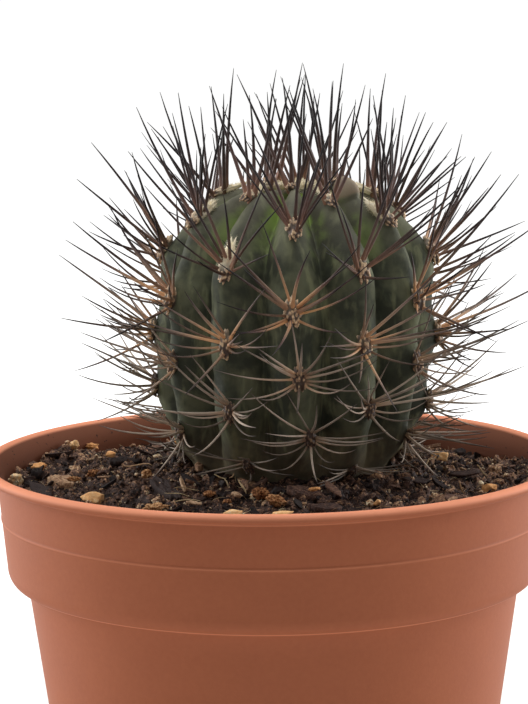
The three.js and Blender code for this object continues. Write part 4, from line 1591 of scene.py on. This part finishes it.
def stone_mesh(half: Sequence[float], seed: float, detail: int, pits: float) -> Shape:
    """A worn stone: a ball cut back by flats, then roughened.

    Args:
        half: half sizes in mm.
        seed: starts its draws.
        detail: subdivision of the ball.
        pits: how rough it is, as a share of its size.

    Returns:
        The points and the faces.
    """
    flats, sharpness, least_facing, pit_spread, pit_grain = 10, 26, 0.05, 3.0, 1.2
    ways, faces = ball(detail)
    ways /= np.linalg.norm(ways, axis=1, keepdims=True)
    normals = spread_ways(flats, cover=2.0, seed=seed, apart=40.0, high_stray=0.16, turn_stray=0.6)
    reach = np.array([0.8 + 0.2 * draw(seed + 71 + i) for i in range(flats)])
    facing = np.maximum(ways @ normals.T, least_facing)
    size = ((reach / facing) ** -sharpness).sum(1) ** (-1 / sharpness)
    size = size * (1 + pits * rough(ways * pit_spread, pit_grain, 3, seed % 17))
    points = ways * size[:, None]
    return points / np.abs(points).max(0) * np.array(half), faces


def clod_mesh(half: Sequence[float], seed: float, detail: int) -> Shape:
    """A crumbly clod: a ball broken up by coarse noise.

    Args:
        half: half sizes in mm.
        seed: starts its draws.
        detail: subdivision of the ball.

    Returns:
        The points and the faces.
    """
    mean, smallest, largest = 0.9, 0.45, 1.25
    ways, faces = ball(detail)
    lumps = Relief(height=0.6, grain=0.5, octaves=3, seed=seed % 23)
    size = np.clip(mean + lumps.at(ways), smallest, largest)
    return ways * size[:, None] * np.array(half), faces


def chip_mesh(half: Sequence[float], seed: float, steps: int, layers: int) -> Shape:
    """A bark flake: an uneven six-cornered outline with a cracked, slightly warped face.

    Args:
        half: half sizes in mm.
        seed: starts its draws.
        steps: points round its outline.
        layers: rings between its middle and its edge.

    Returns:
        The points and the faces.
    """
    count, ragged, cracked, warped, under, thin_edge = 6, 0.05, 0.3, 0.05, 0.93, 0.75
    turns = [(k + 0.3 * sway(seed + k)) * TAU / count for k in range(count)]
    corners = np.array([[math.cos(turn), math.sin(turn)] for turn in turns])
    corners *= np.array([0.8 + 0.2 * draw(seed + 20 + k) for k in range(count)])[:, None]
    along = np.arange(steps) * count / steps
    first = along.astype(int)
    mix = (along - first)[:, None]
    outline = corners[first] * (1 - mix) + corners[(first + 1) % count] * mix
    outline *= 1 + ragged * np.array([sway(seed + 40 + i) for i in range(steps)])[:, None]
    outline /= np.abs(outline).max(0)
    shares = [k / layers for k in range(1, layers + 1)]
    rings = []
    for share, side in [(share, 1) for share in shares] + [(share, -1) for share in reversed(shares)]:
        x, y = (outline * share * (1.0 if side > 0 else under) * half[:2]).T
        cracks = cracked * rough(np.stack([x / 3, y, np.full(steps, side)], 1), 0.7, 3, seed % 13)
        edge = thin_edge if share == 1.0 else 1.0
        warp = warped * half[0] * (x / half[0]) ** 2
        face = side * half[2] * (edge if side < 0 else edge * (0.65 + 0.35 * y / half[1]))
        rings.append(np.stack([x, y, face + cracks * half[2] + warp], 1))
    return skin((0, 0, 0.65 * half[2]), np.array(rings), (0, 0, -half[2]))


def strand_mesh(seed: float, length: float = 7.0, thick: float = 0.14) -> Shape:
    """A bent fibre, three-sided and thin at both ends.

    Args:
        seed: starts its draws.
        length: from end to end, in mm.
        thick: its radius in the middle, in mm.

    Returns:
        The points and the faces.
    """
    steps, sides, bent = 7, 3, 0.23
    bend = bent * length
    rings = []
    for step in range(steps):
        share = step / (steps - 1) - 0.5
        radius = thick * (1 - 0.8 * (1.8 * share) ** 2)
        x = length * share
        y = bend * (math.sin(3.2 * share + seed) - math.sin(seed))
        z = 0.5 * bend * math.sin(4.1 * share + 2 * seed)
        turns = [TAU * k / sides for k in range(sides)]
        rings.append([(x, y + radius * math.cos(t), z + radius * math.sin(t)) for t in turns])
    points, faces = skin(np.mean(rings[0], 0), np.array(rings), np.mean(rings[-1], 0))
    return points, [tuple(reversed(face)) for face in faces]


@dataclass(frozen=True)
class Bedded:
    """A stone or a bark chip that lies where its own solid lies: its half sizes in mm, its turn and
    tilt in radians, its tint and, on a stone, its pitting."""

    half: tuple[float, float, float]
    turn: float
    tilt: float
    tint: float
    pits: float = 0.0

    def lay(self, name: str, shape: Shape, litter: Litter, slot: str, node: str) -> None:
        """Lays its shape in the mix.

        Args:
            name: the piece's name.
            shape: its points and faces, round the origin.
            litter: what it is made of.
            slot: its slot name, which is not used.
            node: the solid that it stands for.
        """
        low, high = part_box(node)
        centre = (low + high) / 2 / MM - Vector((0, 0, LIP_TOP))
        points, faces = shape
        piece = make(name, points @ spun(self.turn, self.tilt) + np.array(centre), faces)
        note(piece, "tint", np.full(len(points), self.tint))
        dress(piece, litter.build(), slot, node)


# In the order of the solids that place them
STONES = (
    Bedded((2.8, 2.1, 1.8), 0.15, 0.0, 0.72, 0.05), Bedded((1.7, 1.6, 1.5), 0.4, 0.0, 0.85, 0.2),
    Bedded((2.1, 1.6, 1.15), 0.1, 0.0, 0.75, 0.05), Bedded((2.6, 1.7, 1.2), -0.2, 0.0, 0.7, 0.05),
    Bedded((2.1, 1.7, 1.3), 0.3, 0.0, 0.75, 0.12), Bedded((1.6, 1.3, 1.1), 1.4, 0.0, 0.55, 0.08),
    Bedded((0.9, 0.8, 0.8), 0.7, 0.0, 0.65, 0.05), Bedded((2.7, 2.0, 1.8), 2.2, 0.0, 0.6, 0.05),
    Bedded((2.2, 1.8, 1.7), 1.1, 0.0, 0.45, 0.05), Bedded((1.8, 1.3, 1.1), 0.4, 0.0, 0.5, 0.1),
)
CHIPS = (
    Bedded((3.2, 2.4, 1.3), 0.2, 0.2, 0.9), Bedded((9.0, 1.4, 1.1), -1.22, 0.08, 0.2),
    Bedded((4.3, 2.5, 1.1), 0.1, 0.25, 0.5), Bedded((3.7, 1.0, 0.7), 0.45, 0.06, 0.55),
    Bedded((3.6, 1.6, 0.9), 0.1, 0.1, 0.4), Bedded((4.8, 2.0, 1.0), -0.3, 0.16, 0.4),
)


def lay_bedded() -> None:
    """Lays the ten stones and the six bark chips in the mix."""
    for index, stone in enumerate(STONES):
        shape = stone_mesh(stone.half, 500 + 60 * index, 4, stone.pits)
        stone.lay(f"grit_{index + 1}", shape, GRIT, "stone", f"stone_{index + 1}")
    for index, chip in enumerate(CHIPS):
        shape = chip_mesh(chip.half, 1500 + 60 * index, 56, 12)
        chip.lay(f"bark_{index + 1}", shape, BARK, "bark", f"bark_chip_{index + 1}")


@dataclass(frozen=True)
class Scatter:
    """Litter strewn over the ground by a geometry node tree.

    Its density is in pieces a square mm, its sizes are factors of the unit shapes, its tilt is the
    most in radians, its sink is in mm, and its darkness is the power of the draw of each tint.
    """

    name: str
    density: float
    smallest: float
    largest: float
    tilt: float
    sink: float
    seed: int
    darkness: float
    small_power: float = 2.0
    turn_seed: int = 3
    size_seed: int = 5
    tint_seed: int = 11

    def build(self, ground: bpy.types.Object, shapes: Sequence[Shape],
              material: bpy.types.Material) -> bpy.types.Object:
        """Strews copies of the shapes.

        Args:
            ground: surface that takes them; a copy of it is used up.
            shapes: unit-sized shapes, one of which each spot picks.
            material: what they are made of.

        Returns:
            The piece.
        """
        kinds = bpy.data.collections.new(self.name + "_shapes")
        for number, (points, faces) in enumerate(shapes):
            points = points - np.array([0, 0, LIP_TOP])
            shape = make(f"{self.name}_shape_{number}", points, faces, smooth=False)
            bpy.context.scene.collection.objects.unlink(shape)
            kinds.objects.link(shape)
        base = shown(self.name, ground.data.copy())
        inputs = {
            "Pieces per mm2": ("NodeSocketFloat", self.density / MM ** 2),
            "Smallest": ("NodeSocketFloat", self.smallest),
            "Largest": ("NodeSocketFloat", self.largest),
            "Tilt": ("NodeSocketFloat", self.tilt),
            "Sink": ("NodeSocketFloat", self.sink * MM),
            "Seed": ("NodeSocketInt", self.seed),
            "Darkness": ("NodeSocketFloat", self.darkness),
            "Shapes": ("NodeSocketCollection", kinds),
            "Stuff": ("NodeSocketMaterial", material),
        }
        tree, source = growth_tree(self.name + "_scatter", inputs)
        spots = add(tree, "GeometryNodeDistributePointsOnFaces", links={
            "Mesh": source.outputs["Geometry"], "Density": source.outputs["Pieces per mm2"],
            "Seed": source.outputs["Seed"]})
        drop = add(tree, "ShaderNodeCombineXYZ", links={"Z": source.outputs["Sink"]})
        sunk = add(tree, "GeometryNodeSetPosition", links={
            "Geometry": spots.outputs["Points"], "Offset": drop.outputs[0]})
        shape = add(tree, "GeometryNodeCollectionInfo", links={
            "Collection": source.outputs["Shapes"], "Separate Children": True,
            "Reset Children": True})
        flip = add(tree, "ShaderNodeMath", {"operation": "MULTIPLY"}, {
            0: source.outputs["Tilt"], 1: -1.0})
        least = add(tree, "ShaderNodeCombineXYZ", links={
            "X": flip.outputs[0], "Y": flip.outputs[0], "Z": 0.0})
        most = add(tree, "ShaderNodeCombineXYZ", links={
            "X": source.outputs["Tilt"], "Y": source.outputs["Tilt"], "Z": TAU})
        angles = add(tree, "FunctionNodeRandomValue", {"data_type": "FLOAT_VECTOR"}, {
            0: least.outputs[0], 1: most.outputs[0], "Seed": self.turn_seed})
        spin = add(tree, "FunctionNodeEulerToRotation", links={0: angles.outputs[0]})
        drawn, tint = (
            add(tree, "FunctionNodeRandomValue", {"data_type": "FLOAT"}, {
                2: 0.0, 3: 1.0, "Seed": seed}).outputs[1]
            for seed in (self.size_seed, self.tint_seed))
        skewed = add(tree, "ShaderNodeMath", {"operation": "POWER"}, {0: drawn, 1: self.small_power})
        size = add(tree, "ShaderNodeMapRange", links={
            "Value": skewed.outputs[0], "To Min": source.outputs["Smallest"],
            "To Max": source.outputs["Largest"]})
        laid = add(tree, "GeometryNodeInstanceOnPoints", links={
            "Points": sunk.outputs[0], "Instance": shape.outputs[0], "Pick Instance": True,
            "Rotation": spin.outputs[0], "Scale": size.outputs[0]})
        shade = add(tree, "ShaderNodeMath", {"operation": "POWER"}, {
            0: tint, 1: source.outputs["Darkness"]})
        tinted = add(tree, "GeometryNodeStoreNamedAttribute",
                     {"data_type": "FLOAT", "domain": "INSTANCE"}, {
                         "Geometry": laid.outputs[0], "Name": "tint", "Value": shade.outputs[0]})
        solid = add(tree, "GeometryNodeRealizeInstances", links={0: tinted.outputs[0]})
        done = add(tree, "GeometryNodeSetMaterial", links={
            "Geometry": solid.outputs[0], "Material": source.outputs["Stuff"]})
        add(tree, "NodeGroupOutput", links={0: done.outputs[0]})
        piece = bake(base, tree, inputs, self.name)
        for shape_object in list(kinds.objects):
            bpy.data.objects.remove(shape_object)
        bpy.data.collections.remove(kinds)
        return piece


class Bits(Enum):
    """Kinds of loose bits that lie where the photograph shows them: name, finish and slot name."""

    CLOD = ("rusty_clods", RUST, "growing_mix")
    LUMP = ("pale_lumps", GRIT, "growing_mix")
    FLAKE = ("dark_flakes", BARK, "bark")
    STRAW = ("pale_straws", COIR, "bark")


@dataclass(frozen=True)
class Bit:
    """One loose bit: its place and its height over the mix in mm, its half sizes in mm, its turn
    and tilt in radians, and its tint."""

    kind: Bits
    x: float
    y: float
    lift: float
    half: tuple[float, float, float]
    turn: float = 0.0
    tilt: float = 0.0
    tint: float = 0.6

    def mesh(self, seed: float) -> Shape:
        """Its points, in place, and its faces."""
        if self.kind is Bits.FLAKE:
            points, faces = chip_mesh(self.half, seed, 24, 5)
        elif self.kind is Bits.STRAW:
            points, faces = strand_mesh(seed, 2 * self.half[0], self.half[1])
            points = points * (1.0, 0.5, 0.5)
        else:
            points, faces = clod_mesh(self.half, seed, 4 if self.kind is Bits.CLOD else 3)
        height = float(GROUND.height(self.x, self.y)) + self.lift
        return points @ spun(self.turn, self.tilt) + (self.x, self.y, height), faces


BITS = (
    Bit(Bits.CLOD, -22.9, -33.2, 0.7, (2.3, 1.4, 1.0), 0.2, 0.0, 0.75),
    Bit(Bits.CLOD, -2.4, -27.0, 1.2, (1.7, 1.5, 1.1), -0.5, 0.2, 0.45),
    Bit(Bits.CLOD, 0.6, -30.0, 0.6, (1.9, 1.7, 1.1), 0.5, 0.2, 0.6),
    Bit(Bits.CLOD, -9.0, -30.0, 0.6, (0.9, 0.8, 0.6), 0.4, 0.0, 0.45),
    Bit(Bits.CLOD, -25.6, -8.6, 1.6, (1.1, 0.9, 0.9), 0.0, 0.0, 0.7),
    Bit(Bits.CLOD, -12.5, -25.0, 0.9, (1.2, 0.8, 0.6), 0.3, 0.0, 0.55),
    Bit(Bits.CLOD, -40.5, -7.6, 1.9, (1.4, 0.7, 0.5), 0.2, 0.0, 0.65),
    Bit(Bits.CLOD, -37.0, 2.0, 1.0, (1.3, 1.0, 0.8), 0.2, 0.0, 0.5),
    Bit(Bits.LUMP, -42.8, 29.0, 1.6, (1.0, 0.9, 0.9), 0.0, 0.0, 0.8),
    Bit(Bits.LUMP, -39.5, 37.0, 1.2, (1.5, 1.0, 0.8), 0.0, 0.0, 0.45),
    Bit(Bits.LUMP, -49.0, 9.5, 1.5, (1.7, 1.2, 0.9), 0.7, 0.0, 0.5),
    Bit(Bits.FLAKE, -7.2, -26.4, 0.9, (1.1, 0.7, 0.5), 0.2, 0.3, 0.95),
    Bit(Bits.FLAKE, -15.5, -30.5, 0.9, (1.7, 0.9, 0.3), 0.2, 0.2, 1.0),
    Bit(Bits.FLAKE, -15.0, -6.2, 1.5, (0.9, 0.9, 0.9), 0.0, 0.0, 0.85),
    Bit(Bits.FLAKE, -16.5, -17.0, 1.3, (1.6, 0.7, 0.4), 0.9, 0.4, 0.7),
    Bit(Bits.LUMP, 42.2, -12.3, 1.3, (0.6, 0.5, 0.5), 0.0, 0.0, 1.0),
    Bit(Bits.LUMP, 8.2, -27.8, 2.2, (1.2, 0.6, 0.4), 0.2, 0.0, 0.5),
    Bit(Bits.FLAKE, -46.6, -14.0, 0.7, (6.6, 1.6, 0.8), -1.1, 0.06, 0.15),
    Bit(Bits.FLAKE, -49.0, 3.5, 1.2, (1.4, 1.2, 1.3), 0.3, 0.2, 0.0),
    Bit(Bits.FLAKE, 40.4, 25.5, 1.0, (1.3, 0.9, 0.8), 0.1, -0.1, 0.1),
    Bit(Bits.FLAKE, 12.0, -26.5, 1.7, (3.0, 1.1, 0.35), -0.8, 0.45, 0.6),
    Bit(Bits.FLAKE, 29.0, -14.0, 0.8, (3.4, 2.3, 0.35), 0.25, 0.15, 0.2),
    Bit(Bits.FLAKE, 39.5, -4.0, 1.1, (3.2, 2.0, 0.35), 0.1, -0.12, 0.35),
    Bit(Bits.FLAKE, -31.0, 12.0, 0.8, (3.6, 1.8, 0.9), 0.3, 0.1, 0.1),
    Bit(Bits.STRAW, -28.0, 0.0, 1.9, (8.2, 0.3, 0.3), -1.37, -0.05, 0.75),
    Bit(Bits.STRAW, -10.4, -19.2, 2.4, (1.4, 0.34, 0.34), 0.3, 0.35, 1.0),
    Bit(Bits.STRAW, -9.2, -20.6, 1.5, (1.1, 0.34, 0.34), 0.4, 1.1, 1.0),
    Bit(Bits.STRAW, -6.0, -24.8, 1.9, (1.5, 0.5, 0.5), 0.3, 1.2, 0.9),
    Bit(Bits.STRAW, -8.0, -16.0, 1.6, (1.3, 0.3, 0.3), -0.9, -0.6, 0.8),
    Bit(Bits.STRAW, -17.5, -23.0, 1.8, (3.0, 0.25, 0.25), 0.5, 0.1, 0.9),
    Bit(Bits.STRAW, -19.0, -26.0, 1.6, (2.4, 0.22, 0.22), -0.4, 0.2, 0.95),
    Bit(Bits.STRAW, 37.8, -19.5, 1.8, (1.5, 0.4, 0.4), 0.2, 1.25, 0.8),
    Bit(Bits.STRAW, 43.0, -2.5, 1.8, (1.6, 0.35, 0.35), -0.5, 0.7, 0.9),
    Bit(Bits.STRAW, -17.0, -31.0, 1.4, (2.8, 0.3, 0.3), 0.1, 0.0, 0.9),
)


def lay_bits() -> None:
    """Lays the loose bits, one piece for each kind."""
    for kind in Bits:
        name, litter, slot = kind.value
        shapes, tints = [], []
        for number, bit in enumerate(BITS):
            if bit.kind is kind:
                shapes.append(bit.mesh(11.0 + 5.3 * number))
                tints += [bit.tint] * len(shapes[-1][0])
        piece = make(name, *joined(shapes))
        note(piece, "tint", tints)
        dress(piece, litter.build(), slot)


class Litters(Enum):
    """What lies loose on the mix: how it is strewn, its finish and its slot name."""

    CLODS = (Scatter("peat_clods", 0.05, 0.5, 1.8, 1.5, -0.2, 21, 2.4), PEAT, "growing_mix")
    CRUMBS = (Scatter("peat_crumbs", 1.1, 0.14, 0.52, 1.5, 0.0, 22, 1.3), PEAT, "growing_mix")
    FLAKES = (Scatter("bark_flakes", 0.05, 0.35, 1.3, 0.9, 0.1, 23, 2.8), BARK, "bark")
    SPLINTERS = (Scatter("bark_splinters", 0.02, 0.3, 1.3, 0.5, 0.2, 25, 1.6), BARK, "bark")
    STRANDS = (Scatter("coir_strands", 0.13, 0.2, 0.6, 0.6, 0.2, 24, 1.2), COIR, "bark")

    def shapes(self) -> list[Shape]:
        """The shapes that it is strewn in, a few mm long, with few faces each."""
        if self is Litters.CLODS:
            return [clod_mesh((1.0, 0.85, 0.75), 900 + 37 * k, 2) for k in range(6)]
        if self is Litters.CRUMBS:
            return [clod_mesh((1.0, 0.8, 0.65), 700 + 37 * k, 1) for k in range(8)]
        if self is Litters.FLAKES:
            return [chip_mesh((1.5, 0.8, 0.24), 300 + 41 * k, 9, 1) for k in range(6)]
        if self is Litters.SPLINTERS:
            return [chip_mesh((3.0, 0.55, 0.4), 350 + 41 * k, 9, 1) for k in range(5)]
        return [strand_mesh(1.1 * k) for k in range(6)]


def strew(ground: bpy.types.Object) -> None:
    """Strews every kind of litter over the mix and removes the scattering ground."""
    for litter in Litters:
        scatter, finish, slot = litter.value
        material = finish.build()
        dress(scatter.build(ground, litter.shapes(), material), material, slot)
    bpy.data.objects.remove(ground)


@dataclass(frozen=True)
class Studio:
    """White table and soft light, with the camera where the photograph was taken from.

    The camera's distance and height over the lip are in mm and its angles in radians. Each lamp has
    its name, its place and side in metres, and its power in watts.
    """

    distance: float = 600.0
    above_lip: float = 114.27
    pitch: float = 0.15316
    yaw: float = 0.00249
    roll: float = 0.01051
    lens: float = 151.19
    paper: str = "#e6e6e4"
    white: str = "#ffffff"
    table_reach: float = 9.0
    lit_from: float = 0.0
    lit_full: float = 0.6
    lit_strength: float = 0.82
    room_light: float = 0.25
    lamps: tuple[tuple[str, tuple[float, float, float], float, float], ...] = (
        ("left_softbox", (-0.89, 0.32, 0.35), 0.7, 7.2),
        ("right_softbox", (0.89, 0.32, 0.35), 0.7, 7.2),
        ("top_softbox", (0.0, 0.1, 1.1), 0.9, 6.5),
    )

    def place_camera(self) -> None:
        """Places the camera."""
        cy, sy = math.cos(self.yaw), math.sin(self.yaw)
        cp, sp = math.cos(self.pitch), math.sin(self.pitch)
        cr, sr = math.cos(self.roll), math.sin(self.roll)
        right = Vector((cy, sy, 0))
        ahead = Vector((-sy * cp, cy * cp, -sp))
        up = Vector((-sy * sp, cy * sp, cp))
        across = right * cr - up * sr
        above = right * sr + up * cr
        data = bpy.data.cameras.new("camera")
        data.lens = self.lens
        data.clip_start, data.clip_end = 0.01, 60.0
        camera = shown("camera", data)
        turn = Matrix((across, above, -ahead)).transposed().to_4x4()
        turn.translation = Vector((0, -self.distance, LIP_TOP + self.above_lip)) * MM
        camera.matrix_world = turn
        bpy.context.scene.camera = camera

    def hang_lamps(self) -> None:
        """Hangs the soft square lamps, facing the plant."""
        for name, place, side, power in self.lamps:
            data = bpy.data.lights.new(name, "AREA")
            data.size = side
            data.energy = power
            lamp = shown(name, data)
            lamp.location = place
            aim = Vector((0, 0, LIP_TOP * MM)) - Vector(place)
            lamp.rotation_euler = aim.to_track_quat("-Z", "Y").to_euler()

    def lay_table(self) -> None:
        """Lays the white paper, which glows behind the pot as a lit backdrop does."""
        material, tree = shader("white_paper_sweep")
        place = add(tree, "ShaderNodeTexCoord").outputs["Object"]
        depth = add(tree, "ShaderNodeSeparateXYZ", links={0: place})
        behind = add(tree, "ShaderNodeMapRange", {"interpolation_type": "SMOOTHSTEP"}, {
            "Value": depth.outputs["Y"], "From Min": self.lit_from, "From Max": self.lit_full,
            "To Max": self.lit_strength})
        paper = add(tree, "ShaderNodeBsdfPrincipled", links={
            "Base Color": colour(self.paper), "Roughness": 0.9, "Emission Color": colour(self.white),
            "Emission Strength": behind.outputs[0]})
        add(tree, "ShaderNodeOutputMaterial", links={"Surface": paper.outputs[0]})
        far = self.table_reach
        mesh = bpy.data.meshes.new("table")
        corners = [(-far, -far, 0), (far, -far, 0), (far, far, 0), (-far, far, 0)]
        mesh.from_pydata(corners, [], [(0, 1, 2, 3)])
        mesh.materials.append(material)
        shown("table", mesh)

    def build(self) -> None:
        """Sets up the table, the light and the camera."""
        bpy.context.scene.view_settings.view_transform = "Standard"
        self.lay_table()
        world = bpy.data.worlds.new("studio")
        world.use_nodes = True
        world.node_tree.nodes.clear()
        glow = add(world.node_tree, "ShaderNodeBackground", links={
            "Color": colour(self.white), "Strength": self.room_light})
        add(world.node_tree, "ShaderNodeOutputWorld", links={"Surface": glow.outputs[0]})
        bpy.context.scene.world = world
        self.hang_lamps()
        self.place_camera()


def main() -> None:
    """Builds the pot, the plant, the mix and the studio in turn."""
    logging.basicConfig(level=logging.INFO, format="%(message)s")
    dress(POT.build(), MouldedPolypropylene().build(), "pot_plastic", "pot")
    dress(STEM.build(), CactusSkin().build(), "cactus_skin", "cactus")
    horn = SpineHorn().build()
    dress(SpineCoat().build(horn), horn, "cactus_skin", "cactus")
    felt = AreoleFelt().build()
    dress(FeltCushions().build(felt), felt, "cactus_skin", "cactus")
    body, ground = GrowingMix().build()
    dress(body, PEAT.build(), "growing_mix", "soil")
    strew(ground)
    lay_bits()
    lay_bedded()
    Studio().build()


if __name__ == "__main__":
    main()
